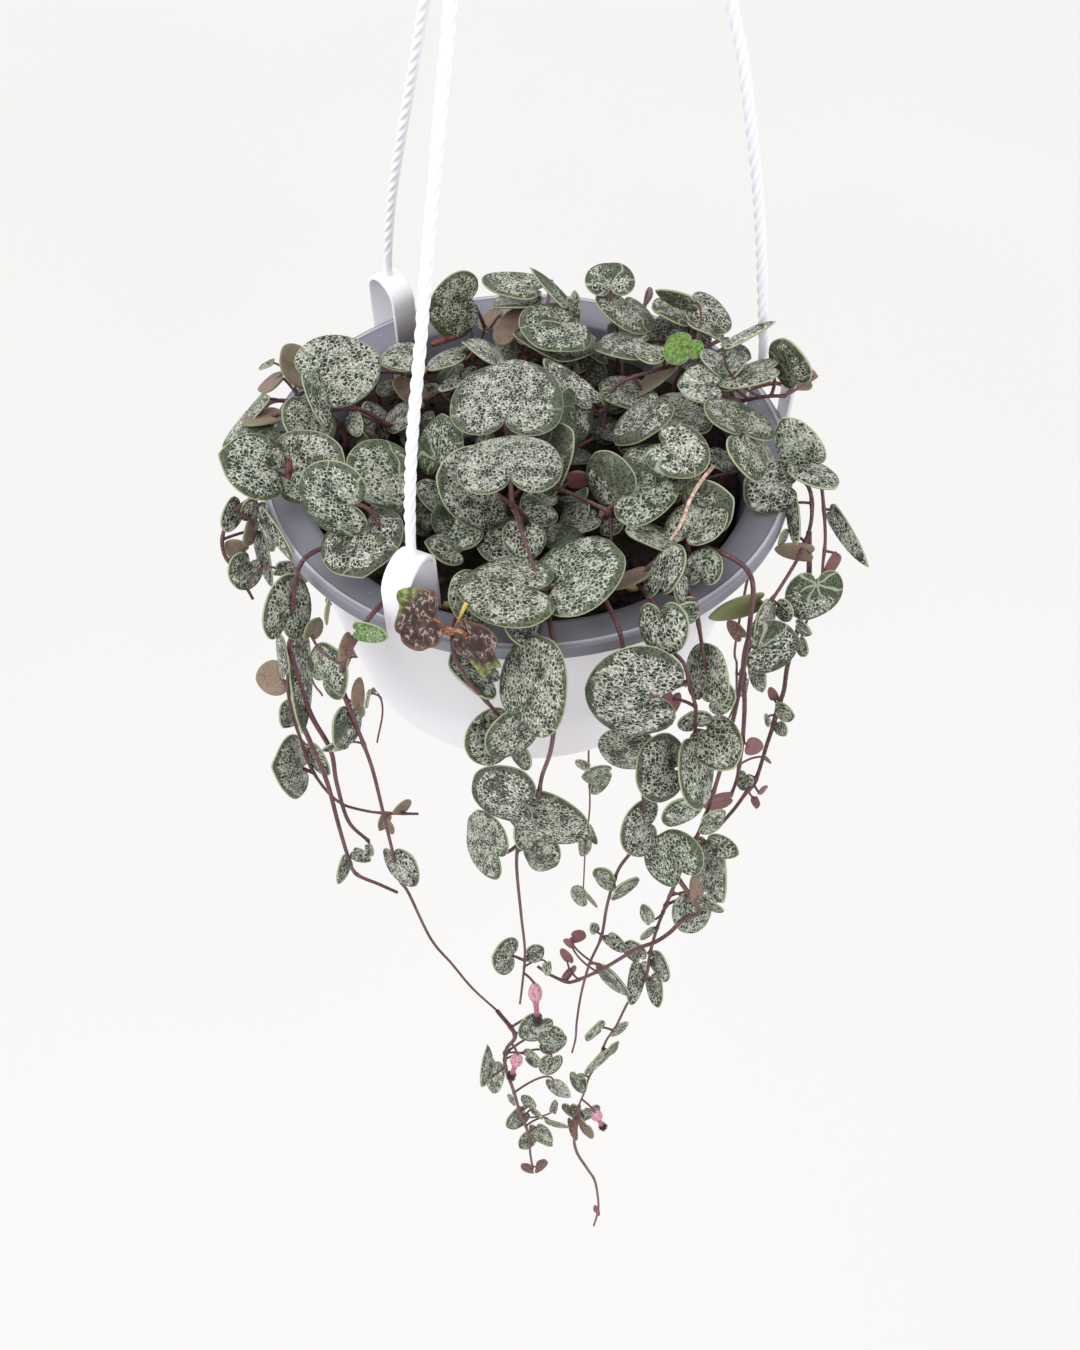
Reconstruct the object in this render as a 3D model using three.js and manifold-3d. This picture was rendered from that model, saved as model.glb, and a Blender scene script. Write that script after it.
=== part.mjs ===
// String of hearts (Ceropegia) growing in a hanging pot: a grey grow pot with a broad rim stands in
// a white bowl, three twisted arms clip over the rim and meet in a hook, and the vines trail down.
// Millimetres, +Z up. The origin is the point inside the hook that bears on the ceiling hook.
import * as THREE from "three";
import Module from "manifold-3d";
import { mergeVertices } from "three/addons/utils/BufferGeometryUtils.js";

const wasm = await Module();
wasm.setup();

// ---- driving dimensions -------------------------------------------------------------------------
const RIM_DROP = 250; // rim plane below the bearing point of the hook
const RIM_R = 70; // outer edge of the grow pot's rim
const RIM_INNER_R = 60; // where the rim turns down into the pot
const RIM_LIP = 4; // height of the rim's turned-down edge
const GROW_WALL = 1.4;
const GROW_FLOOR_Z = -60;
const GROW_FLOOR_R = 49;
const DRAIN_R = 4; // drainage holes in the grow pot's floor
const DRAIN_CIRCLE_R = 30;
const DRAINS = 6;
const BOWL_LIP_R = 68.3;
const BOWL_TOP_R = 64;
const BOWL_BASE_R = 52;
const BOWL_H = 70;
const BOWL_WALL = 2.2;
const SOIL_Z = -9;
const POT_SIDES = 24;
const SEAT = 0.3; // running gap between neighbouring pieces
const STRAND_R = 1.35; // the arm's twisted strand
const TWIST_PITCH = 40; // length of one full turn of the four-lobed strand
const CLIP_BREADTH = 7;
const CLIP_SHOULDER_Z = 12.3; // where the clip's legs start to bend over the rim
const CLIP_ARCH = 4.8; // inner height of that bend
const CLIP_THICK = 1.2;
const HOOK_R = 11; // centre line of the hook's bow
const HOOK_WIRE_R = 2.5;
const BLADE_THICK = 1.8; // middle of a succulent leaf
const STEM_R = 1.1;
const PETIOLE_R = 0.6;
const STEM_FOOT_R = 51; // where the trailing stems stand in the soil, from the pot's axis
const SLACK = 0.8; // how far a straightened stem may leave the points listed for it
const FINEST = 0.12; // smaller steps than this are smoothed away where pieces are fused

// ---- small tools --------------------------------------------------------------------------------
const rad = THREE.MathUtils.degToRad;
const V = (x, y, z) => new THREE.Vector3(x, y, z);

function solidFrom(points, faces) {
  return new wasm.Manifold(
    new wasm.Mesh({
      numProp: 3,
      vertProperties: new Float32Array(points.flatMap((p) => [p.x, p.y, p.z])),
      triVerts: new Uint32Array(faces.flat()),
    }),
  );
}

function solidOf(geometry) {
  const bare = geometry.clone();
  bare.deleteAttribute("normal");
  bare.deleteAttribute("uv");
  const merged = mergeVertices(bare, 1e-4);
  return new wasm.Manifold(
    new wasm.Mesh({
      numProp: 3,
      vertProperties: new Float32Array(merged.attributes.position.array),
      triVerts: new Uint32Array(merged.index.array),
    }),
  );
}

function geometryOf(solid) {
  const mesh = solid.getMesh();
  const geometry = new THREE.BufferGeometry();
  geometry.setAttribute("position", new THREE.BufferAttribute(mesh.vertProperties, 3));
  geometry.setIndex(new THREE.BufferAttribute(mesh.triVerts, 1));
  return geometry;
}

// Everything fused, without the loose scraps that a cut may leave.
function fused(solids) {
  const whole = wasm.Manifold.union(solids).simplify(FINEST);
  return whole.decompose().sort((a, b) => b.volume() - a.volume())[0];
}

// A tube through the points, with flat ends; radii taper from r0 to r1.
function tube(points, r0, r1, sides) {
  const verts = [];
  const faces = [];
  const along = points.map((p, i) => {
    const before = points[Math.max(i - 1, 0)];
    const after = points[Math.min(i + 1, points.length - 1)];
    return after.clone().sub(before).normalize();
  });
  const side = Math.abs(along[0].z) < 0.8 ? V(0, 0, 1) : V(1, 0, 0);
  side.addScaledVector(along[0], -side.dot(along[0])).normalize();
  points.forEach((p, i) => {
    side.addScaledVector(along[i], -side.dot(along[i])).normalize();
    const other = along[i].clone().cross(side);
    const r = r0 + ((r1 - r0) * i) / (points.length - 1);
    for (let k = 0; k < sides; k++) {
      const a = (2 * Math.PI * k) / sides;
      verts.push(
        p.clone().addScaledVector(side, r * Math.cos(a)).addScaledVector(other, r * Math.sin(a)),
      );
    }
  });
  for (let i = 0; i + 1 < points.length; i++)
    for (let k = 0; k < sides; k++) {
      const a = i * sides + k;
      const b = i * sides + ((k + 1) % sides);
      faces.push([a, b, b + sides], [a, b + sides, a + sides]);
    }
  const last = (points.length - 1) * sides;
  for (let k = 1; k + 1 < sides; k++) {
    faces.push([0, k + 1, k]);
    faces.push([last, last + k, last + k + 1]);
  }
  return solidFrom(verts, faces);
}

function lathe(profile, segments) {
  return new THREE.LatheGeometry(
    profile.map(([r, z]) => new THREE.Vector2(r, z)),
    segments,
  ).rotateX(Math.PI / 2);
}

// A repeatable stream of numbers from 0 to 1.
function stream(seed) {
  let state = seed;
  return () => {
    state = (state * 1664525 + 1013904223) % 4294967296;
    return state / 4294967296;
  };
}

// ---- leaves and stems ---------------------------------------------------------------------------
// A leaf row is [x, y, z, width, tip, face, lean, length]: where the blade meets its petiole, the
// blade's width, then the azimuth of its tip as drawn flat, and the azimuth that it is then leaned
// towards by "lean" degrees. The length from notch to tip, in widths, is 0.7 where it isn't given.
const HALF_OUTLINES = {
  large: [[0.2, -0.19], [0.47, -0.02], [0.42, 0.38]],
  small: [[0.3, -0.16], [0.5, 0.16]],
};
const LARGE_LEAF = 19; // from this width on the outline takes more points
const SMALLEST_LEAF = 9; // buds narrower than this are too fine for a solid
const SMALLEST_CROWN_LEAF = 12; // and so are the narrow leaves under the broad ones on the pot
const HEART_LENGTH = 0.66;
const HEART_MIDDLE = 0.24;
const CUP = 0.05;

function leafFrame([x, y, z, width, tip, face, lean, length = 0.7]) {
  const axis = V(-Math.sin(rad(face)), Math.cos(rad(face)), 0);
  const ahead = V(Math.cos(rad(tip)), Math.sin(rad(tip)), 0).applyAxisAngle(axis, rad(lean));
  const up = V(0, 0, 1).applyAxisAngle(axis, rad(lean));
  const across = ahead.clone().cross(up);
  const stretch = length / HEART_LENGTH;
  const at = (u, v, h) =>
    V(x, y, z)
      .addScaledVector(across, u * width)
      .addScaledVector(ahead, (v > 0 ? v * stretch : v) * width)
      .addScaledVector(up, h);
  return { at, width, ahead, across };
}

// The blade with its stalk, which runs from the notch to the nearest point of the stems.
function leaf(row, stems) {
  const { at, width, ahead, across } = leafFrame(row);
  const size = width >= LARGE_LEAF ? "large" : "small";
  const thick = Math.min(BLADE_THICK, 0.12 * width + 0.4);
  const bowed = ([u, v]) => at(u, v, -4 * CUP * width * (u * u + (v - HEART_MIDDLE) ** 2));
  const half = HALF_OUTLINES[size];
  const mirrored = half.map(([u, v]) => [-u, v]).reverse();
  const points = [...half, [0, HEART_LENGTH], ...mirrored].map(bowed);
  const top = points.push(at(0, HEART_MIDDLE, thick / 2)) - 1;
  const under = points.push(at(0, HEART_MIDDLE, -thick / 2)) - 1;

  // three corners at the notch, and the same three where the stalk meets its stem
  const neck = Math.min(PETIOLE_R, 0.05 * width + 0.2);
  const notch = bowed([0, 0]);
  const end = nearestOn(stems, notch);
  const way = end.clone().sub(notch).normalize();
  const side = across.clone().addScaledVector(way, -across.dot(way)).normalize();
  const below = side.clone().cross(way);
  const left = points.push(at(-neck / width, 0, 0.2 * neck)) - 1;
  const right = points.push(at(neck / width, 0, 0.2 * neck)) - 1;
  const low = points.push(at(0, 0.03, -1.1 * neck)) - 1;
  points.push(end.clone().addScaledVector(side, -neck).addScaledVector(below, -0.5 * neck));
  points.push(end.clone().addScaledVector(side, neck).addScaledVector(below, -0.5 * neck));
  points.push(end.clone().addScaledVector(below, neck));
  const [endLeft, endRight, endLow] = [low + 1, low + 2, low + 3];

  const loop = [right, ...points.keys()].slice(0, top + 1);
  loop.push(left);
  const faces = [[top, left, right], [under, low, left], [under, right, low]];
  for (let i = 0; i + 1 < loop.length; i++) {
    faces.push([top, loop[i], loop[i + 1]]);
    faces.push([under, loop[i + 1], loop[i]]);
  }
  const steep = way.dot(ahead) > 0.2 || Math.abs(way.dot(across)) > 0.9;
  if (steep) {
    // the stalk leaves forwards or sideways, so it is a piece of its own that is fused on
    faces.push([left, low, right]);
    const start = at(0, 0.1, 0);
    return [solidFrom(points.slice(0, low + 1), faces), tube([start, end], neck, neck, 3)];
  }
  faces.push([right, left, endLeft], [right, endLeft, endRight]);
  faces.push([left, low, endLow], [left, endLow, endLeft]);
  faces.push([low, right, endRight], [low, endRight, endLow]);
  faces.push([endRight, endLeft, endLow]);
  return [solidFrom(points, faces)];
}

// Leaves out the points of a stem that lie closer than "slack" to the straight line past them.
function straightened(points, slack) {
  const first = points[0];
  const last = points[points.length - 1];
  const line = new THREE.Line3(first, last);
  const off = points.map((p) => line.closestPointToPoint(p, true, V(0, 0, 0)).distanceTo(p));
  const worst = off.indexOf(Math.max(...off));
  if (off[worst] < slack) return [first, last];
  const before = straightened(points.slice(0, worst + 1), slack);
  return [...before.slice(0, -1), ...straightened(points.slice(worst), slack)];
}

function nearestOn(stems, point) {
  let best = null;
  for (const stem of stems)
    for (let i = 0; i + 1 < stem.length; i++) {
      const line = new THREE.Line3(stem[i], stem[i + 1]);
      const foot = line.closestPointToPoint(point, true, V(0, 0, 0));
      if (!best || foot.distanceTo(point) < best.distanceTo(point)) best = foot;
    }
  return best;
}

function foliage(stemLists, leaves, r0 = STEM_R, r1 = STEM_R * 0.65) {
  const stems = stemLists.map((list) => straightened(list.map(([x, y, z]) => V(x, y, z)), SLACK));
  const pieces = stems.map((points) => tube(points, r0, r1, 3));
  for (const row of leaves) if (row[3] >= SMALLEST_LEAF) pieces.push(...leaf(row, stems));
  return pieces;
}

// A stem that stands in the soil comes up close to the rim before its first listed point over it.
function rooted(stem) {
  const [x, y] = stem[0];
  const scale = 1 / Math.hypot(x, y);
  const out = (r, z) => [x * scale * r, y * scale * r, z];
  return [out(STEM_FOOT_R, SOIL_Z - 5), out(STEM_FOOT_R, -5), out(STEM_FOOT_R + 4, 2.5), ...stem];
}

// The creeping stems that lie among the leaves on the pot, and join at the root crown in the middle.
const ROOT_CROWN = [0, -4, -8];
const CREEPERS = [
  [ROOT_CROWN, [-18, 2, -4], [-36, 8, 0], [-50, 12, 4], [-60, 10, 5]],
  [ROOT_CROWN, [-20, -12, -4], [-38, -20, 1], [-52, -16, 5], [-58, 0, 6]],
  [ROOT_CROWN, [-10, -24, -4], [-22, -40, 0], [-34, -44, 2]],
  [ROOT_CROWN, [2, -26, -4], [-4, -46, 0], [-6, -57, 5]],
  [ROOT_CROWN, [18, -22, -5], [34, -36, -1], [42, -44, 2]],
  [ROOT_CROWN, [22, -8, -4], [42, -14, 1], [58, -14, 5], [64, -20, 7]],
  [ROOT_CROWN, [20, 10, -4], [40, 13, 2], [53, 8, 8], [61, 2, 15], [66, 1, 16]],
  [ROOT_CROWN, [10, 20, -4], [22, 38, 2], [38, 38, 6], [48, 30, 8]],
  [ROOT_CROWN, [-6, 22, -4], [0, 40, 2], [-12, 46, 5]],
  [ROOT_CROWN, [-18, 20, -4], [-34, 30, 1], [-52, 24, 5], [-62, 16, 5]],
  [[-36, 8, 0], [-44, 4, 10], [-54, 2, 12], [-52, 12, 15]],
  [[2, -26, -4], [-4, -34, 12], [-3, -42, 16], [0, -52, 14], [2, -58, 11]],
  [[18, -22, -5], [20, -30, 5], [10, -26, 8], [0, -20, 8], [-4, -14, 14]],
  [[20, 10, -4], [24, 18, 6], [40, 20, 12], [46, 28, 13]],
];

const CROWN = [
  // broad leaves over the left half
  [-53, 6, 19, 21, 30, -75, 25, 0.75],
  [-62.5, -22.5, 13, 17, 180, -35, 40, 0.75],
  [-60, -19.3, 10.2, 18.5, -5, -125, 55, 0.95],
  [-55.5, -0.5, 14, 14.5, -85, -15, 30, 0.85],
  [-54, 0, 24, 7, -50, -25, 55, 2],
  [-41.5, -41.5, 19, 19.5, 160, -110, 75],
  [-31.5, -23.5, 11, 18, -175, -40, 35, 0.8],
  [-40, -39.5, 10, 21.5, -85, 180, 15],
  [-23, -12.5, 7, 17, 70, -145, 55, 0.65],
  [-8, -26.5, 9, 21, -170, -35, 60, 0.85],
  // the two largest, one over the other, and their neighbours
  [-5.5, -13, 20, 28, 85, -160, 0, 0.9],
  [-4, -38, 24, 24.5, 90, 105, 5, 0.75],
  [3.5, -15, 5, 17, 15, -155, 65, 0.85],
  [12.5, 5, 11, 15.5, -70, -25, 60],
  [16.5, 5.5, 11, 8.5, 135, -35, 15, 2],
  // towards the back, left of the middle
  [10.5, 32, 16, 20, -140, -10, 15, 0.7],
  [7.5, 38, 8, 23.5, -85, 55, 20, 0.65],
  [2, 44.5, 19, 12.5, 160, 110, 0, 1.2],
  [1.5, 47, 14, 15, -175, 110, 20, 0.8],
  [-16, 40, 18, 18.5, -145, -45, 80, 0.75],
  [-8, 21, 14, 14.5, 175, 30, 35, 0.65],
  [-19, 23, 13, 13.5, -175, 140, 25, 0.65],
  [-30.5, 26.5, 10, 14, 180, 90, 5],
  [-14.5, 19, 10, 7.5, -160, 165, 20, 1.4],
  // over the left edge, some showing their undersides
  [-60.5, 21.5, 9, 13.5, -40, 165, 130, 0.65],
  [-69, 24, 10, 3.5, 175, 170, 30, 1.35],
  [-67.5, 20, 7, 10, -55, -20, 150, 0.6],
  [-69.5, 8.5, 10, 9, -150, 175, 40, 1.85],
  [-67, 3, 8, 12.5, -155, -75, 160, 0.6],
  // low on the soil
  [-41, 11.5, -4, 12.5, 120, -20, 60],
  [-33, 11.5, 4, 12.5, -120, -175, 35, 0.6],
  [-29, 19, 1, 8.5, -35, 150, 155, 1.1],
  [-13.5, -32, 2, 11.5, -175, -160, 15, 0.75],
  [-18, -39, 1, 11.5, 180, 20, 30, 0.65],
  [-4.5, -36.5, 1, 12, 180, -90, 5, 0.65],
  [5, -23.5, 1, 13, 180, 140, -15, 0.55],
  [13.5, -21.5, 0, 13.5, -175, 180, 50],
  [-22, -22, 2, 10, 170, -15, 40],
  [-1, -39, 8, 11, -90, -65, 25],
  [16, -27, 0, 9, -165, 160, 20],
  [22, -27, 1, 9, 180, -150, 40],
  [20, -40, -1, 12, -175, -5, 35],
  [27, -52, 6, 8, -100, -45, 150, 1.3],
  [31, 19, 3, 17, -180, 40, 10],
  [21, 41, 0, 13, 175, 10, 40],
  [12.5, 38.5, 11, 7.5, 70, -160, 60, 1.3],
  [-3, 36, 9, 15, 155, 25, 165, 0.75],
  [-8, 52, 4, 9, 30, 25, 155],
  [10.5, 37, 19, 6.5, 145, 0, 35, 2],
  // right half, back to front
  [23, 41, 21, 14, 90, -80, 10, 0.75],
  [27, 42, 16, 18, -80, 0, 25],
  [30.5, 27.5, 13, 15.5, -175, 80, 10, 0.75],
  [44.5, 40.5, 13, 13, 165, 15, 15, 0.8],
  [44.5, 34, 21, 7, 155, -125, 110, 1.75],
  [47, 39, 17, 13, -25, -40, 25, 0.85],
  [47, 35, 14, 12, -25, 35, 30],
  [41, 16, 20, 9.5, 175, -130, 30, 0.6],
  [43, 15.5, 20, 6, -5, -95, 20, 0.55],
  [50, 5, 29, 6.5, 15, 145, 30, 2],
  [51.5, 6.5, 20, 9.3, 20, 175, 45, 0.65],
  [50.5, 10, 18, 9.2, 150, -5, 30, 0.75],
  [68, 3, 20.5, 12.5, 90, -135, 90, 0.85],
  [76, 19, 7, 9, 85, 30, 170, 0.75],
  [47, 3, 18, 14, 175, 130, -5, 0.6],
  [61, 3, 23, 12.9, 175, 150, 25, 0.95],
  [32.5, -1.5, 14, 17, -150, 175, 30, 0.75],
  [44, 10, 6, 14, -180, 50, 10],
  [33, -21, 19, 14.5, -40, -130, 25, 0.85],
  [33.5, -16.5, 9, 13.5, 175, -75, 5, 0.75],
  [53, -14.5, 18, 19.5, 95, 25, 20, 0.75],
  [52.5, -21, 19, 12.5, -60, -15, 40, 0.8],
  [52, -8, 2, 9, -175, 0, 20],
  [68.5, -22, 15, 13, 105, -125, 80, 0.85],
  [68.5, -23, 13, 12.5, -55, 60, 15, 0.75],
  [65, -22, 6, 13.5, -170, -75, 60, 0.9],
  [22, -26.5, 9, 13.5, 110, -125, 65, 0.8],
  [31.5, -25, 9, 14.5, -125, 30, -10, 0.95],
  [33.5, -39.5, 5, 14.5, 170, 50, 25],
  [38.5, -39.5, 7, 17, 55, 180, 30],
  [41, -32, 7, 14.5, 0, -135, 75, 0.8],
  [30.5, -57.5, 9, 16, 60, 180, 55, 0.6],
  [36, -59, 6, 9, 125, -15, 65],
  [41, -51, 4, 10.5, 75, -155, 30, 0.75],
  // the front pair, and what it covers
  [6.5, -59, 10, 24, 25, -175, 25],
  [1, -62, 12, 23, 180, 20, 5],
  [-11, -60, 4, 14.5, 175, -25, 50],
  [-1.5, -64, 7, 13, -75, -20, 45, 0.65],
  // between the others on the right
  [39, 23, 9, 10, -45, -10, 140, 1.2],
  [59, -10, 11, 14, -45, 0, 55],
  [41, -17, 7, 14, -145, 170, 50],
  [51, 7, 14.5, 7.8, 25, 140, 20],
  // small ones at the edge and in the gaps
  [-67, -1, 8, 10, -155, -80, -10, 0.85],
  [-46.5, 3.5, 8, 6, -65, -160, 50, 1.4],
  [11, -19, 6, 7, -10, 90, 80],
  [35.5, 18.5, 16, 10, 150, 100, 10],
  [39, -1, 10, 13, -25, 90, 10],
];

// Each trailing vine: the points that its stem passes through, and its leaves.
const VINES = {
  left_rim: {
    stem: [
      [-66, -23, 5], [-74, -28, 3], [-77, -32, -5], [-73, -36, -11], [-70, -40, -15],
    ],
    leaves: [
      [-72.5, -25, 3, 6.5, -110, -5, 70, 1.75],
      [-68, -24.5, 3, 7.5, -100, -50, 90],
      [-69.5, -28, -1, 8.5, -160, 160, 85, 0.6],
      [-72.5, -30.5, -7, 8, -175, 85, 90, 0.6],
      [-70.5, -34.5, -8, 11, -95, -40, 70, 0.6],
      [-69, -26.5, -6, 7, -100, -145, 70, 1.9],
      [-66.5, -28.5, 3, 7.5, -70, -140, 85, 2],
      [-62.5, -38, -6, 5, 5, -55, 95, 1.6],
    ],
  },
  left_outer: {
    stem: [
      [-53, -47, 7], [-57, -53, -4], [-58, -53, -10], [-60, -53, -20],
      [-62, -53, -30], [-63, -54, -42], [-62, -55, -56], [-61, -56, -66], [-58, -57, -76],
      [-54, -58, -82], [-48, -59, -84], [-42, -60, -84], [-32, -61, -83],
    ],
    leaves: [
      [-59, -56, -7, 16, 105, -35, 75, 0.8],
      [-61, -58.5, -21, 7, 95, -160, 65, 1.5],
      [-58.5, -47.5, -23, 12.5, -55, -10, 75, 1.75],
      [-65, -49.5, -35, 9.5, 125, 60, 125, 0.8],
      [-64, -50, -47, 9, -85, -25, 75, 0.65],
      [-64, -53.5, -70, 18, -155, -10, 75, 0.75],
      [-61, -53, -62, 8.5, -75, -130, 75, 1.1],
      [-37.5, -60.5, -82, 7, 5, 130, 85, 0.65],
      [-42, -58, -89, 6, -150, 145, 100],
      [-41, -62, -86, 5, -15, 45, 105],
    ],
  },
  left_long: {
    stem: [
      [-36, -63, 5], [-40, -65, -1], [-43, -64, -8], [-46, -63, -17],
      [-46, -63, -26], [-44, -64, -39], [-42, -65, -54], [-41, -66, -71], [-40, -67, -91],
      [-39, -68, -108], [-37, -68, -116], [-32, -69, -144], [-26, -70, -160], [-20, -71, -176],
      [-12, -72, -192],
    ],
    leaves: [
      [-53, -56, -10, 7.5, 10, 145, 90, 0.6],
      [-51, -60.5, -22, 14.5, 25, -135, 75, 0.8],
      [-39.5, -66.5, 3, 5.5, -15, -110, 70, 1.35],
      [-42.5, -60.5, -6, 4, -175, 130, 125, 1.55],
      [-42.5, -66, -25, 4, -5, 140, 120, 1.7],
      [-46, -63, -34, 13.5, -70, -25, 80, 0.65],
      [-43, -63, -29, 5, -20, 35, 100],
      [-48, -64, -45, 4, -165, -70, 90, 1.55],
      [-39.5, -67, -97, 14, -90, -130, 75, 0.75],
    ],
  },
  left_thin: {
    stem: [
      [-60, -53, -20], [-60, -60, -38], [-59, -60, -43],
      [-57, -62, -52], [-55, -64, -63], [-54, -66, -81], [-53, -67, -97], [-52, -66, -108],
      [-46, -65, -116], [-41, -65, -121],
    ],
    leaves: [
      [-55.5, -61, -108, 6, -95, -20, 70, 1.25],
      [-52, -63.5, -100, 4, -20, -55, 50, 1.45],
    ],
  },
  left_thread: {
    stem: [
      [-60, -53, -20], [-56.5, -60, -36], [-52.5, -63, -48.5], [-52.5, -64, -63],
      [-51.5, -64, -82], [-47, -64, -92.5],
    ],
    leaves: [
      [-47, -65, -94, 4, -90, -140, 65, 0.75],
    ],
  },
  front_left: {
    stem: [
      [-17, -66, 5], [-17, -74, 4], [-14, -76, -4], [-9, -75, -15],
      [-5, -74, -25], [-4, -73, -33],
    ],
    leaves: [
      [-9.5, -70, -11, 13.5, 170, 10, 35, 0.85],
      [-7.5, -73, -28, 15.5, -155, -50, 65, 0.65],
      [-2.5, -75.5, -22, 16, -115, -60, 80, 0.6],
      [-6, -75, -28, 9, 50, -40, 60],
      [-3, -73.5, -35, 9, -100, -145, 80, 0.6],
      [-6, -70, -36, 5.5, -90, -40, 80, 0.65],
    ],
  },
  front: {
    stem: [
      [5, -67, 4], [6, -73, 3], [6, -77, -2], [6, -79, -13],
      [5, -80, -26], [3, -79, -38], [2, -78, -49], [0, -76, -58], [-3, -75, -76], [-4, -74, -90],
      [-3, -74, -119], [-2, -74, -144], [-3, -74, -166], [-4, -74, -182],
    ],
    leaves: [
      [-1.5, -81, -7, 22, 40, -145, 60, 0.8],
      [-2.5, -81.5, -45, 18.5, 160, -110, 75, 0.75],
      [0, -78.5, -55, 18.5, -35, -100, 80, 0.9],
      [-9.5, -78.5, -76, 20, 130, -145, 70, 0.7],
      [0.5, -72.5, -69, 13, -80, -35, 65, 0.65],
      [1.5, -74.5, -82, 17, -55, -125, 80, 0.4],
      [-6.5, -72.5, -149, 12.5, -170, -30, 70, 0.75],
      [0, -72.5, -149, 8.5, 10, -75, 75, 0.55],
      [5, -73, -154, 3.5, -65, -60, 70, 1.6],
    ],
  },
  right_front: {
    stem: [
      [30, -62, 5], [31, -71, 5], [33, -74, 3], [35, -76, 2],
      [37, -77, -5], [39, -77, -13], [40, -75, -22], [41, -72, -30],
    ],
    leaves: [
      [29.5, -70, 12, 13, -100, -130, 65, 0.75],
      [28.5, -80, -5, 28, 175, -90, 80, 0.55],
      [33.5, -74, -14, 10, 170, 130, 95, 0.65],
      [43.5, -74, -27, 13, -65, -165, 30, 0.9],
      [35.5, -78.5, -36, 17.5, -170, -40, 55, 0.7],
      [41.5, -77.5, -31, 15.5, -80, -25, 55, 0.9],
      [41, -73.5, -25, 9, 120, -80, 95],
    ],
  },
  right_small: {
    stem: [
      [38, -58, 5], [39, -66, 4], [40, -71, 0], [42, -72, -8],
      [45, -71, -16],
    ],
    leaves: [
      [37, -68, 10, 8, -150, -75, 90],
      [41.5, -75, -9, 15, 60, -150, 70, 0.75],
      [43, -74, -15, 8.5, 10, -140, 80, 1.1],
      [36, -60.5, 4, 6, -20, -70, 80],
    ],
  },
  right_under: {
    stem: [
      [20, -66, 5], [22, -70, -2], [25, -70, -22], [27, -70, -38],
      [30, -71, -58], [31, -71, -73], [30, -71, -85], [28, -71, -90], [25, -72, -98],
      [23, -72, -117], [22, -72, -138], [19, -72, -156], [17, -71, -180], [16, -71, -204],
      [16, -70, -221], [15, -70, -234],
    ],
    leaves: [
      [28, -72, -38, 16, 175, -100, 85],
      [33, -71.5, -73, 16.5, -155, -35, 65, 0.75],
      [23.5, -73, -102, 9.5, 160, -125, 85],
      [25.5, -76, -102, 10.5, 20, -60, 95],
      [20.5, -70.5, -137, 3.5, 140, -55, 85, 1.8],
      [24.5, -71, -140, 5.5, -50, -95, 70, 1.5],
      [24, -75, -156, 14.5, -70, -135, 95, 0.75],
    ],
  },
  right_mid: {
    stem: [
      [52, -50, 5], [53, -58, -6], [52, -64, -30], [50, -68, -55],
      [47, -71, -77], [44, -72, -88], [43, -73, -97], [41, -73, -112], [39, -73, -130],
      [38, -73, -147], [38, -73, -162], [36, -72, -176], [33, -72, -187], [30, -72, -206],
      [27, -71, -222], [25, -71, -241], [22, -71, -256], [21, -71, -269], [19, -71, -286],
      [19, -71, -305],
    ],
    leaves: [
      [42, -74, -60, 12.5, -100, -70, 85],
      [41, -79.5, -83, 19, 110, -130, 60, 0.6],
      [50.5, -68.5, -89, 14, -100, -160, 70, 1.25],
      [50.5, -73, -81, 7, -25, -105, 50, 1.1],
      [48, -73.5, -70, 10, 20, -65, 85, 0.65],
      [49, -72, -117, 13.5, -85, -70, 55, 0.75],
      [49, -74, -108, 6, -40, 135, 110, 1.5],
      [48, -72, -111, 4.5, -160, -45, 80, 1.6],
      [54, -72.5, -117, 7, -40, -120, 100, 0.65],
      [35.5, -76, -119, 7.5, 105, -145, 80, 0.65],
      [37, -74, -130, 6.5, -115, -55, 90, 0.65],
      [40, -73, -153, 11, -55, -150, 80],
      [40, -71, -170, 8, -90, -155, 60, 1.2],
      [36, -69, -164, 8, -90, -50, 55, 1.7],
      [34, -75, -145, 9, 115, -125, 75],
      [24, -72, -209, 10, -165, -50, 90, 0.65],
      [30.5, -72, -210, 9, 10, -60, 90, 0.6],
      [27, -72.5, -229, 12, -105, -50, 90, 0.9],
      [29, -72, -228, 7.5, 30, -50, 85, 0.65],
      [17.5, -71, -255, 7.5, -100, -120, 70, 1.2],
    ],
  },
  runner: {
    stem: [
      [43, -74, -99], [50, -76, -114], [46, -76, -119], [42, -77, -126], [38, -77, -132], [33, -76, -138],
      [28, -76, -145], [22, -76, -153], [14, -75, -163], [11, -74, -165], [6, -72, -164],
      [2, -70, -162],
    ],
    leaves: [
      [13.5, -68, -145, 6, 35, 105, 105],
      [13, -70, -147, 5, 145, 55, 90, 0.65],
      [12, -69.5, -158, 6, -175, 45, 100],
      [13, -69, -167, 7, 170, 135, 95, 0.65],
    ],
  },
  right_a: {
    stem: [
      [60, -45, -13], [56, -49, -19], [55, -52, -28],
      [57, -54, -43], [58, -56, -58], [58, -57, -64], [58, -58, -71], [57, -59, -78],
    ],
    leaves: [
      [65.5, -54, -66, 2, -75, 30, 85, 1.65],
      [59, -57.5, -56, 5, 100, 145, 110, 1.8],
      [55.5, -60, -78, 9.5, 180, 100, 85],
    ],
  },
  right_b: {
    stem: [
      [71, -29, -3], [72, -35, -15], [71, -39, -28], [69, -44, -38],
      [69, -46, -46], [68, -48, -50], [67, -50, -59], [66, -52, -63], [64, -56, -74],
      [61, -59, -77], [58, -62, -80], [54, -65, -84],
    ],
    leaves: [
      [68, -49.5, -51, 6.5, -25, -130, 85],
      [68.5, -50.5, -56, 5.5, -95, -145, 80, 0.65],
      [67, -46, -50, 3, -125, 75, 90, 1.7],
      [61, -56, -73, 5.5, -130, -125, 75, 1],
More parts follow.
